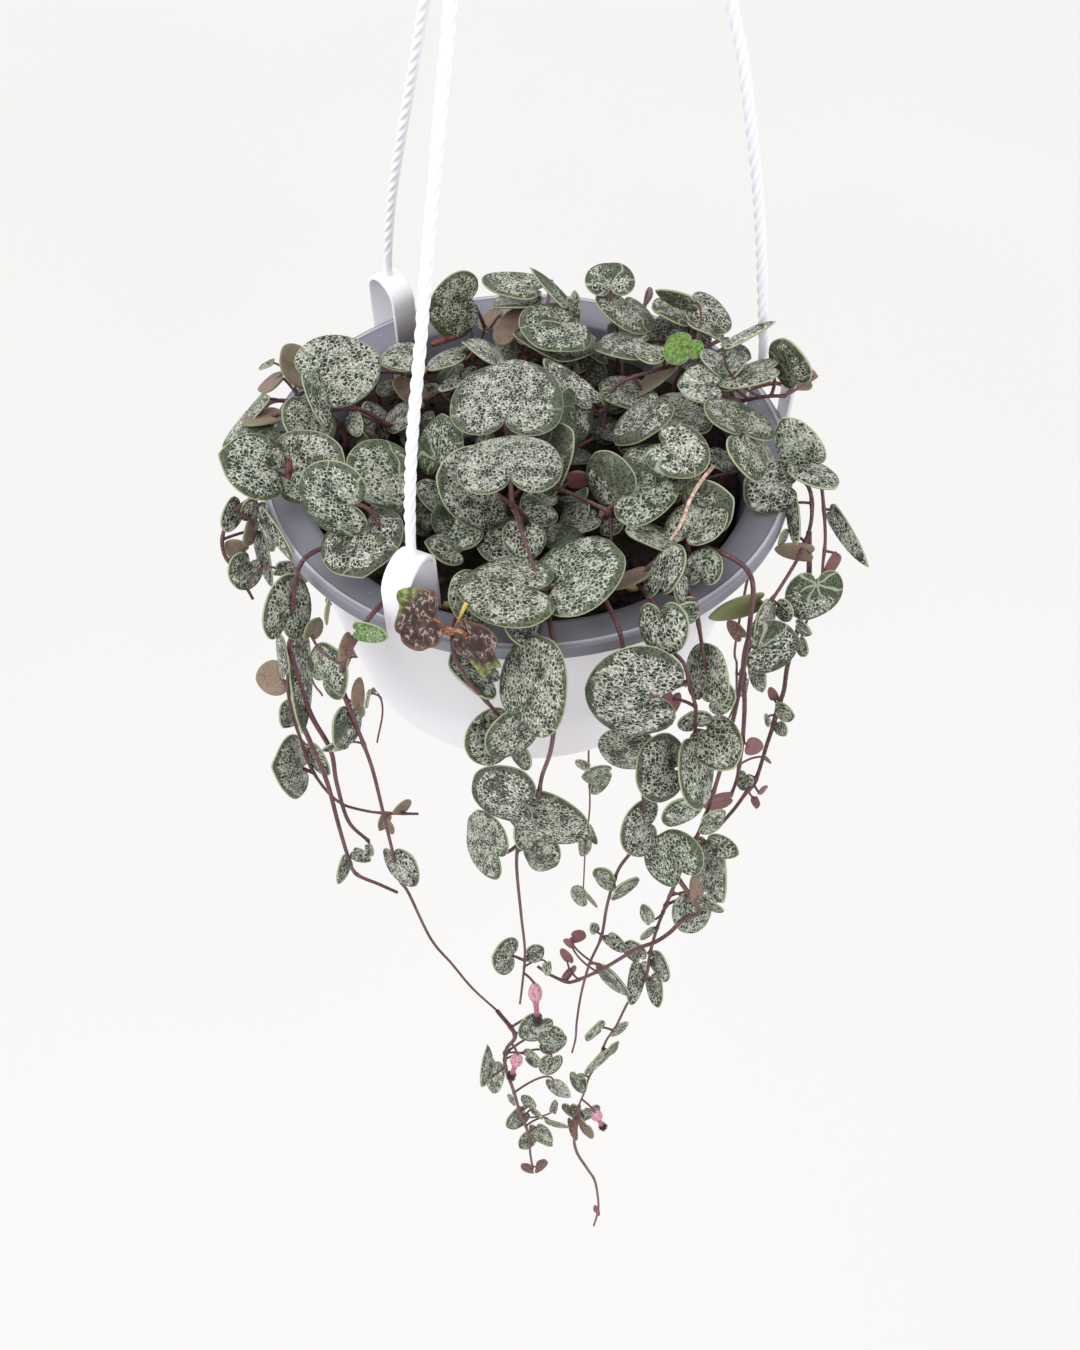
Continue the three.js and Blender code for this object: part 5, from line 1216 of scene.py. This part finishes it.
def add_petiole(piece, stems, notch, width, ahead, up, look):
    """The stalk: out of the notch, then in a bend to the stem. Returns where it joins."""
    s, i, end = closest(stems, notch)
    reach = np.linalg.norm(end - notch)
    leave = -0.75 * ahead - 0.65 * up
    bend = notch + leave * reach * 0.4
    sag = end + (notch - end) * 0.25 + leave * reach * 0.12
    t = np.linspace(0, 1, 12)[:, None]
    inside = notch + 0.04 * width * ahead
    path = (
        (1 - t) ** 3 * notch + 3 * (1 - t) ** 2 * t * bend + 3 * (1 - t) * t * t * sag + t ** 3 * end
    )
    path = np.vstack([[inside], path])
    thick = 0.013 * width + 0.26
    radii = np.concatenate([[thick * 0.8], np.linspace(thick, thick * 1.15, 12)])
    points, faces = tube(path, radii, 8)
    piece.add(points, faces, look)
    return s, i


def grow(piece, stem_lists, leaves, seed, radii=(STEM_R, STEM_R * 0.6), looks=(0, 1, 2), **more):
    """Stems through their listed points, thicker at each node, with their leaves."""
    stems = [smooth_path(points, 1.4) for points in stem_lists]
    joins = []
    for i, row in enumerate(leaves):
        blade = add_blade(piece, row, seed + i, looks[:2], **more)
        joins.append(add_petiole(piece, stems, *blade, looks[2]))
    for s, path in enumerate(stems):
        run = run_along(path)
        radius = np.interp(run, (0, run[-1]), radii)
        for which, i in joins:
            if which == s:
                radius = radius * (1 + 0.3 * np.exp(-(((run - run[i]) / 1.3) ** 2)))
        points, faces = tube(path, radius, 10)
        piece.add(points, faces, looks[2])
    return stems


def stream(seed):
    """A repeatable stream of numbers from 0 to 1."""
    state = seed
    while True:
        state = (state * 1664525 + 1013904223) % 4294967296
        yield state / 4294967296


def ruled_vine(azimuth, hang, seed):
    """Stem and leaves of a vine that hangs straight down, drawn from its seed."""
    numbers = stream(seed)
    draw = lambda: next(numbers)

    def point(r, z, turn=0.0):
        a = math.radians(azimuth + turn)
        return [r * math.cos(a), r * math.sin(a), z]

    stem = [point(67, 5), point(73, 1), point(74, -10)]
    leaves = []
    pairs = hang // LEAF_SPACING
    for i in range(1, pairs + 1):
        z = -10 - i * LEAF_SPACING
        turn = 5 * (draw() - 0.5) * math.sqrt(i)
        stem.append(point(74, z, turn))
        width = 17 - (9 * i) / pairs + 3 * draw()
        reach = (2 + 2 * draw()) / 74
        for side in (-1, 1):
            base = point(78.5, z + 2 + 4 * draw(), turn + side * math.degrees(reach))
            face = azimuth + side * (15 + 30 * draw())
            tip = azimuth + side * (50 + 60 * draw())
            leaves.append([*base, width, tip, face, 70 + 20 * draw()])
    stem.append(point(74, -10 - (pairs + 0.6) * LEAF_SPACING))
    return {"stem": stem, "leaves": leaves}


def rooted(stem):
    """Adds the way out of the soil and up to the rim in front of a stem's first point over it."""
    x, y = stem[0][:2]
    scale = 1 / math.hypot(x, y)
    out = lambda r, z: [x * scale * r, y * scale * r, z]
    rise = [out(STEM_FOOT_R, SOIL_Z - 5), out(STEM_FOOT_R, -5), out(STEM_FOOT_R + 4, 2.5)]
    return rise + stem


# ---- the plant ---------------------------------------------------------------------------------
UNDERGROWTH = 66  # small leaves among the creepers
RIM_LEAVES = 14  # and small leaves beside the rim at the right


def low_leaves():
    """Rows of the small leaves low down among the creeping stems, in the shade of the others."""
    draw = random.Random(21)
    rows = []
    for _ in range(UNDERGROWTH):
        a, r = draw.uniform(0, 2 * math.pi), 43 * math.sqrt(draw.random())
        place = [r * math.cos(a) - 3, r * math.sin(a) + 3, draw.uniform(-5.5, 0.5)]
        tip, face = draw.uniform(-180, 180), draw.uniform(-180, 180)
        rows.append([*place, draw.uniform(6, 11.5), tip, face, draw.uniform(5, 45)])
    for _ in range(RIM_LEAVES):
        a, r = math.radians(draw.uniform(22, 80)), draw.uniform(55, 64)
        place = [r * math.cos(a), r * math.sin(a), draw.uniform(2.5, 6)]
        tip, face = draw.uniform(-180, 180), draw.uniform(-140, -40)
        rows.append([*place, draw.uniform(9, 13), tip, face, draw.uniform(15, 50)])
    return rows


# A dead flat stalk lies across the leaves, and some leaves are still rolled up.
DRY_STRAP = [(45, -26, 16.5), (41, -33, 17.5), (38, -39, 17), (36, -44, 15), (33, -48, 13)]
BUDS = [[(-26, 27, 13), (-19, 29, 14)], [(-58, -23, 17), (-58, -27, 14)]]
SPROUTS = [[20, 15.5, 3, 4.2, 60, -90, 30], [15.5, 11.8, 3, 3.4, 150, -90, 25]]


def make_plant():
    """The leaves on the pot, every vine with its side shoots, and the withered leaves."""
    looks = [leaf_top(), leaf_under(), stem_skin()]
    crown = Piece()
    stems = grow(crown, CREEPERS, CROWN, 100)
    for i, row in enumerate(low_leaves()):
        # the low leaves get painted shade that darkens them
        blade = add_blade(crown, row, 400 + i, (0, 1), frost=(0, 0.5), painted_shade=0.45, size="low")
        add_petiole(crown, stems, *blade, 2)
    for i, row in enumerate(SPROUTS):
        blade = add_blade(crown, row, 500 + i, (0, 1))
        add_petiole(crown, stems, *blade, 2)
    strap = smooth_path(DRY_STRAP, 1.0)
    crown.add(*tube(strap, np.linspace(0.55, 0.35, len(strap)), 16, flat=0.5), 3)
    for ends in BUDS:
        roll = smooth_path([ends[0], np.mean(ends, axis=0) + (0, 0, 0.4), ends[1]], 0.4)
        body = 1.0 * np.sin(np.linspace(0.35, 2.9, len(roll))) ** 0.6
        crown.add(*tube(roll, body, 14), 4)
    skins = [*looks, dry_strap_skin(), bud_skin()]
    crown.build("crown_leaves", skins, "heart_leaf", "crown_foliage")
    vines = dict(VINES)
    for name, rule in RULED_VINES.items():
        vines[name] = ruled_vine(**rule)
    shoots = {name for group in SHOOTS.values() for name in group}
    for order, (name, vine) in enumerate(vines.items()):
        if name in shoots:
            continue
        piece = Piece()
        seed = 1000 + 40 * order
        grow(piece, [rooted(vine["stem"])], vine["leaves"], seed, (STEM_R, STEM_R * 0.6))
        for shoot in SHOOTS.get(name, []):
            grow(piece, [vines[shoot]["stem"]], vines[shoot]["leaves"], seed + 20, (0.75, 0.5))
        piece.build("leafy_" + name, looks, "heart_leaf", "vine_" + name)
    dead = Piece()
    grow(dead, [WITHERED["stem"]], WITHERED["leaves"], 77, (0.55, 0.4), crumple=0.17)
    tip = smooth_path([(-16.5, -72, 10.4), (-15, -71, 13.5), (-13.8, -70, 16.1)], 0.5)
    radii = np.linspace(0.25, 0.5, len(tip))
    bare = np.append(np.repeat(np.linspace(0, 1.4, len(tip)) ** 2, 10), (0, 1)).clip(0, 1)
    dead.add(*tube(tip, radii, 10), 2, tint=bare)
    dried = dried_skin()
    dead.build("dead_leaves", [dried, dried, straw_skin()], "withered_leaf", "withered_leaves")


FLOWER_RINGS = 34
FLOWER_SIDES = 20
FLOWER_HAIRS = 70
# How wide the flower is along its length: bulb, narrow tube, and the lantern of its tip.
FLOWER_SHAPE = [
    (0, 0.5), (0.05, 1.4), (0.12, 2.1), (0.2, 2.4), (0.27, 2.1), (0.34, 1.4), (0.42, 1.0),
    (0.55, 0.85), (0.66, 0.95), (0.74, 1.25), (0.82, 1.5), (0.89, 1.45), (0.95, 1.05), (1, 0.35),
]


def make_flowers():
    """Lantern flowers, each on a stalk that starts on the skin of its vine."""
    petals = petal_skin()
    stem = stem_skin()
    for name, spec in FLOWERS.items():
        piece = Piece()
        neck = np.array(spec["bulb"], float)
        tip = np.array(spec["tip"], float)
        carrier = smooth_path(VINES[spec["vine"]]["stem"], 1.4)
        _, _, joint = closest([carrier], neck)
        away = (neck - joint) / np.linalg.norm(neck - joint)
        start = joint + away * (0.6 * STEM_R)
        stalk = smooth_path([start, (start + neck) / 2 + (0, 0, 0.6), neck], 0.5)
        piece.add(*tube(stalk, 0.45, 8), 1)
        span = np.linspace(0, 1, FLOWER_RINGS)
        bend = np.sin(span * math.pi)[:, None] * np.array((0, -0.6, 0))
        path = neck + (tip - neck) * span[:, None] + bend
        radii = np.interp(span, *zip(*FLOWER_SHAPE))
        points, faces = tube(path, radii, FLOWER_SIDES)
        rings = points[:-2].reshape(FLOWER_RINGS, FLOWER_SIDES, 3)
        angle = np.linspace(0, 2 * math.pi, FLOWER_SIDES, endpoint=False)
        ribs = 1 + 0.16 * np.cos(5 * angle)[None, :] * np.clip((span - 0.6) / 0.2, 0, 1)[:, None]
        rings = path[:, None] + (rings - path[:, None]) * ribs[:, :, None]
        points = np.vstack([rings.reshape(-1, 3), points[-2:]])
        along = np.concatenate([np.repeat(span, FLOWER_SIDES), [0, 1]])
        piece.add(points, faces, 0, along=along)
        add_hairs(piece, path, radii, span)
        piece.build("bloom_" + name, [petals, stem], "flower", "flower_" + name)


def add_hairs(piece, path, radii, span):
    """Short dark hairs round the flower's tip."""
    ahead, side, other = frames_along(path)
    draw = random.Random(9)
    for _ in range(FLOWER_HAIRS):
        i = draw.randrange(int(0.72 * len(span)), len(span) - 1)
        a = draw.uniform(0, 2 * math.pi)
        out = side[i] * math.cos(a) + other[i] * math.sin(a)
        root = path[i] + out * radii[i] * 0.95
        end = root + (out + 0.5 * ahead[i]) * draw.uniform(0.5, 0.9)
        hair = np.array([root, (root + end) / 2, end])
        piece.add(*tube(hair, np.array([0.1, 0.07, 0.02]), 4), 0, along=1.0)


# ---- pot, soil and hanger ----------------------------------------------------------------------
def lathe(profile, around=160):
    """A surface turned about the vertical axis from a profile of (radius, height)."""
    points = []
    for r, z in profile:
        a = np.linspace(0, 2 * math.pi, around, endpoint=False)
        points.append(np.stack([r * np.cos(a), r * np.sin(a), np.full(around, z)], axis=1))
    return np.vstack(points), bands(len(profile), around)


def rounded(profile, radius, steps=5):
    """The profile with each inner corner turned into a small arc, where the sides allow it."""
    p = [np.asarray(q, float) for q in profile]
    out = [p[0]]
    for a, b, c in zip(p, p[1:], p[2:]):
        before, after = a - b, c - b
        reach = min(radius, 0.45 * np.linalg.norm(before), 0.45 * np.linalg.norm(after))
        start = b + before / np.linalg.norm(before) * reach
        end = b + after / np.linalg.norm(after) * reach
        for i in range(steps + 1):
            t = i / steps
            out.append((1 - t) ** 2 * start + 2 * t * (1 - t) * b + t * t * end)
    out.append(p[-1])
    return out


def make_pots():
    """The white bowl, and the grey grow pot that stands in it."""
    white = white_plastic()
    w = BOWL_WALL
    top = -RIM_LIP - 0.3 - SEAT
    profile = rounded(
        [
            (0.01, -BOWL_H + 1.5), (BOWL_BASE_R - 14, -BOWL_H + 1.5), (BOWL_BASE_R - 13, -BOWL_H),
            (BOWL_BASE_R - 5, -BOWL_H),
        ],
        0.8,
    )
    foot = [(BOWL_BASE_R - 9, -BOWL_H), (BOWL_BASE_R + 0.6, -BOWL_H), (BOWL_TOP_R, top - 3)]
    foot = rounded(foot, 9, 12)
    profile += foot[1:]
    profile += rounded(
        [(BOWL_TOP_R, top - 3), (BOWL_LIP_R, top - 1.8), (BOWL_LIP_R, top), (BOWL_TOP_R - w, top),
         (BOWL_BASE_R + 1 - w, -BOWL_H + 10), (BOWL_BASE_R - 6 - w, -BOWL_H + 3.7),
         (0.01, -BOWL_H + 3.7)],
        0.7,
    )[1:]
    piece = Piece()
    piece.add(*lathe(profile), 0)
    piece.build("white_bowl", [white], "white_plastic", "bowl")

    w = GROW_WALL
    profile = rounded(
        [
            (0.01, GROW_FLOOR_Z - w), (GROW_FLOOR_R, GROW_FLOOR_Z - w),
            (RIM_INNER_R - 0.6, -RIM_LIP + 0.2), (RIM_R - 1.5, -RIM_LIP + 0.4),
            (RIM_R - 1.3, -RIM_LIP - 0.2), (RIM_R, -RIM_LIP),
            (RIM_R, -0.1), (RIM_R - 1.7, 0.2), (RIM_R - 2.1, -0.35), (RIM_INNER_R + 1, -1.3),
            (RIM_INNER_R - 0.7, -2.3), (RIM_INNER_R - 1.4, -6), (GROW_FLOOR_R - w, GROW_FLOOR_Z),
            (0.01, GROW_FLOOR_Z),
        ],
        0.6,
    )
    points, faces = lathe(profile)
    # painted highlight: the rounded bead of the rim is marked for a pale line in the grey pot's colour
    bead = np.hypot(points[:, 0], points[:, 1]) - (RIM_R - 1.5)
    bead_highlight = np.exp(-((bead / 0.3) ** 2)) * (points[:, 2] > -1)
    piece = Piece()
    piece.add(points, faces, 0, rim=bead_highlight)
    piece.build("grey_liner", [grey_plastic()], "grey_plastic", "grow_pot")


def lump(centre, size, draw, tint, piece, look, squash=0.75):
    """A rough crumb: a small ball with each corner moved in or out."""
    bm = bmesh.new()
    bmesh.ops.create_icosphere(bm, subdivisions=1, radius=1)
    tilt = Matrix.Rotation(draw.uniform(0, 6.28), 3, Vector((draw.random(), draw.random(), 0.3)))
    stretch = Vector((draw.uniform(0.8, 1.5), draw.uniform(0.6, 1.0), squash))
    points = []
    for v in bm.verts:
        q = v.co * draw.uniform(0.8, 1.15)
        q = tilt @ Vector((q.x * stretch.x, q.y * stretch.y, q.z * stretch.z))
        points.append(np.array(q) * size + centre)
    faces = [[v.index for v in f.verts] for f in bm.faces]
    bm.free()
    piece.add(points, faces, look, tint=tint)


def soil_height(x, y):
    """Height of the potting mix, with broad and fine unevenness."""
    broad = noise.noise(Vector((x, y, 0)) * 0.07)
    fine = noise.noise(Vector((x, y, 4)) * 0.35)
    return SOIL_Z + 1.6 * broad + 1.1 * fine


def make_soil():
    """Crumbly surface with bark, crumbs and a few fertiliser prills lying in it."""
    piece = Piece()
    rings, around = 60, 180
    points = [(0, 0, soil_height(0, 0))]
    for i in range(1, rings + 1):
        for k in range(around):
            a = 2 * math.pi * k / around
            r = SOIL_R * i / rings
            x, y = r * math.cos(a), r * math.sin(a)
            points.append((x, y, soil_height(x, y)))
    for k in range(around):
        a = 2 * math.pi * k / around
        x, y = SOIL_FOOT_R * math.cos(a), SOIL_FOOT_R * math.sin(a)
        points.append((x, y, GROW_FLOOR_Z + SEAT))
    points.append((0, 0, GROW_FLOOR_Z + SEAT))
    faces = [(0, 1 + k, 1 + (k + 1) % around) for k in range(around)]
    for i in range(rings):
        for k in range(around):
            n = (k + 1) % around
            a, b = 1 + i * around + k, 1 + i * around + n
            faces.append((a, a + around, b + around, b))
    last = len(points) - 1
    faces += [(last, last - around + (k + 1) % around, last - around + k) for k in range(around)]
    piece.add(points, faces, 0)
    draw = random.Random(3)
    for i in range(CRUMBS):
        a, r = draw.uniform(0, 2 * math.pi), 55 * math.sqrt(draw.random())
        x, y = r * math.cos(a), r * math.sin(a)
        size = draw.uniform(0.4, 1.0) if i % 4 else draw.uniform(1.2, 2.4)
        height = soil_height(x, y) + 0.2 * size
        tint = draw.choice((0, 0.1, 0.25, 0.6, 1.0)) if i % 3 == 0 else 0.0
        lump(np.array((x, y, height)), size, draw, tint, piece, 0)
    prills = [
        (-49, -10), (12, 17), (-20, -48), (30, -48), (-30, 44), (5, -50), (40, -38), (14.5, 4.3),
        (26, -44), (35, -44), (21, -52), (-44, -30),
    ]
    for x, y in prills:
        centre = np.array((x, y, soil_height(x, y) + 1.0))
        lump(centre, 1.4, draw, 0, piece, 1, squash=0.95)
    piece.build("soil_surface", [potting_soil(), prill_coat()], "potting_mix", "potting_mix")


def arc(centre, wide, high, start, end, steps=20):
    """Points of an elliptic arc between two angles in degrees."""
    angles = np.radians(np.linspace(start, end, steps))
    return [(centre[0] + wide * math.cos(a), centre[1] + high * math.sin(a)) for a in angles]


def clip_outline():
    """The bent strip over the rim in (radius, height), with the toe under the rim's edge."""
    inner, outer, thick = RIM_INNER_R - 1.2, RIM_R + 0.4, CLIP_THICK
    middle, span = (inner + outer) / 2, (outer - inner) / 2
    shoulder = (middle, CLIP_SHOULDER_Z)
    outline = [
        (outer, -4.6), (RIM_R - 1.2, -4.6), (RIM_R - 1.2, -5.2), (outer, -6.2),
        (outer + thick, -6.2),
    ]
    outline += arc(shoulder, span + thick, CLIP_ARCH + thick, 0, 180)
    outline += [(inner - thick - 0.7, -3.5), (inner - 0.7, -3.5)]
    outline += arc(shoulder, span, CLIP_ARCH, 180, 0)
    return outline


# Where each arm stands on the rim, and its height above the rim and distance from the pot's axis.
ARMS = {
    "right": {
        "azimuth": 11,
        "curve": [
            (17, 62.6), (24, 61.8), (33, 60.4), (48, 57.9), (62, 55.3), (75, 52.4), (87, 49.4),
            (99, 46.2), (110, 42.4), (125, 37), (150, 27.5), (175, 17.5), (200, 8), (216, 4.4),
        ],
    },
    "back_left": {
        "azimuth": 126.5,
        "curve": [
            (17, 65.2), (24, 64.2), (33, 62.3), (48, 57.7), (63, 51.9), (77, 46.2), (90, 41),
            (102, 36.2), (125, 27), (150, 18.5), (175, 11.5), (200, 6.4), (216, 4.4),
        ],
    },
    "front_left": {
        "azimuth": 245,
        "curve": [
            (17, 62.7), (24, 62), (33, 60.8), (48, 57.2), (66, 51), (79, 46.7), (96, 40.8),
            (111, 35.5), (125, 30.4), (150, 21.5), (175, 13), (200, 6.8), (216, 4.4),
        ],
    },
}


def strip_mesh(outline, breadth, soften):
    """The outline given a breadth, with softened edges, as points and faces."""
    bm = bmesh.new()
    ring = [bm.verts.new((r, -breadth / 2, z)) for r, z in outline]
    face = bm.faces.new(ring)
    moved = bmesh.ops.extrude_face_region(bm, geom=[face])["geom"]
    for v in moved:
        if isinstance(v, bmesh.types.BMVert):
            v.co.y = breadth / 2
    bmesh.ops.recalc_face_normals(bm, faces=bm.faces)
    edges = [e for e in bm.edges if abs(e.verts[0].co.y - e.verts[1].co.y) < 1e-6]
    bmesh.ops.bevel(bm, geom=edges, offset=soften, segments=3, affect="EDGES", profile=0.5)
    bm.verts.index_update()
    points = [tuple(v.co) for v in bm.verts]
    faces = [[v.index for v in f.verts] for f in bm.faces]
    bm.free()
    return points, faces


def make_arm(name, azimuth, curve, white):
    """One arm: its clip over the rim, and the twisted strand up to the hub."""
    turn = np.array(Matrix.Rotation(math.radians(azimuth), 3, "Z"))
    piece = Piece()
    points, faces = strip_mesh(clip_outline(), CLIP_BREADTH, 0.35)
    piece.add(np.array(points) @ turn.T, faces, 0)
    path = smooth_path([(r, 0, z) for z, r in curve], 0.6)
    ahead, side, other = frames_along(path)
    run = run_along(path)
    angle = np.linspace(0, 2 * math.pi, STRAND_SIDES, endpoint=False)
    twist = run / TWIST_PITCH * 2 * math.pi
    # the strand's lobes fade into a plain round neck above the clip
    lobes = LOBE_DEPTH * np.clip((run - 6) / 5, 0, 1)
    wave = np.cos(STRAND_LOBES * (angle[None, :] - twist[:, None]))
    radius = STRAND_R * (1 + lobes[:, None] * wave)
    flare = 1 + 0.35 * np.clip(1 - run / 4, 0, 1) ** 2
    radius = radius * flare[:, None]
    rings = path[:, None] + spokes(side, other, angle) * radius[:, :, None]
    points = np.vstack([rings.reshape(-1, 3), path[:1], path[-1:]])
    piece.add(points @ turn.T, tube_faces(len(path), STRAND_SIDES), 0)
    piece.build("arm_" + name, [white], "white_plastic", "hanger_arm_" + name)


def make_hook(white):
    """The open hook with the hub that the arms meet under."""
    piece = Piece()
    bow_z = -(HOOK_R - HOOK_WIRE_R)
    points = [(0, 0, bow_z - HOOK_R - 9), (-1.5, 0, bow_z - HOOK_R - 4)]
    for deg in range(-90, 196, 6):
        a = math.radians(deg)
        points.append((HOOK_R * math.cos(a), 0, bow_z + HOOK_R * math.sin(a)))
    path = smooth_path(points[:2] + points[3:], 0.8)
    end = np.clip((len(path) - np.arange(len(path))) / 4, 0.35, 1)
    piece.add(*tube(path, HOOK_WIRE_R * np.sqrt(end), 24), 0)
    hub = [(0.01, -33.6), (7.6, -33.6), (8, -32.8), (7, -30), (3.4, -26), (2.8, -22), (0.01, -21)]
    piece.add(*lathe(rounded(hub, 0.8), 64), 0)
    piece.build("hook", [white], "white_plastic", "hanger_hook", drop=0)


def make_hanger():
    """Three arms and the hook."""
    white = white_plastic()
    for name, spec in ARMS.items():
        make_arm(name, spec["azimuth"], spec["curve"], white)
    make_hook(white)


# ---- studio ------------------------------------------------------------------------------------
FLOOR_REACH = 14.0  # metres
FLOOR_Z = -3.2
SKY = (1.0, 0.995, 0.99, 1)
SKY_STRENGTH = 1.02
LAMPS = {
    "key": {"place": (-0.9, -0.5, 0.9), "size": 1.0, "watts": 9},
    "fill": {"place": (1.1, -0.9, 0.4), "size": 1.4, "watts": 3},
}


def make_studio():
    """A pale floor, even light from all around and two soft lamps."""
    mesh = bpy.data.meshes.new("sweep")
    s = FLOOR_REACH
    corners = [(-s, -s, FLOOR_Z), (s, -s, FLOOR_Z), (s, s, FLOOR_Z), (-s, s, FLOOR_Z)]
    mesh.from_pydata(corners, [], [(0, 1, 2, 3)])
    mesh.materials.append(studio_paper())
    sweep = bpy.data.objects.new("sweep", mesh)
    bpy.context.scene.collection.objects.link(sweep)
    world = bpy.data.worlds.new("studio")
    bpy.context.scene.world = world
    bpy.context.scene.view_settings.view_transform = "Standard"
    world.use_nodes = True
    sky = world.node_tree.nodes["Background"]
    sky.inputs["Color"].default_value = SKY
    sky.inputs["Strength"].default_value = SKY_STRENGTH
    for name, spec in LAMPS.items():
        data = bpy.data.lights.new(name, "AREA")
        data.size = spec["size"]
        data.energy = spec["watts"]
        lamp = bpy.data.objects.new(name, data)
        lamp.location = spec["place"]
        aim = Vector((0, 0, -RIM_DROP * MM)) - lamp.location
        lamp.rotation_euler = aim.to_track_quat("-Z", "Y").to_euler()
        bpy.context.scene.collection.objects.link(lamp)


make_camera()
make_plant()
make_flowers()
make_pots()
make_soil()
make_hanger()
make_studio()
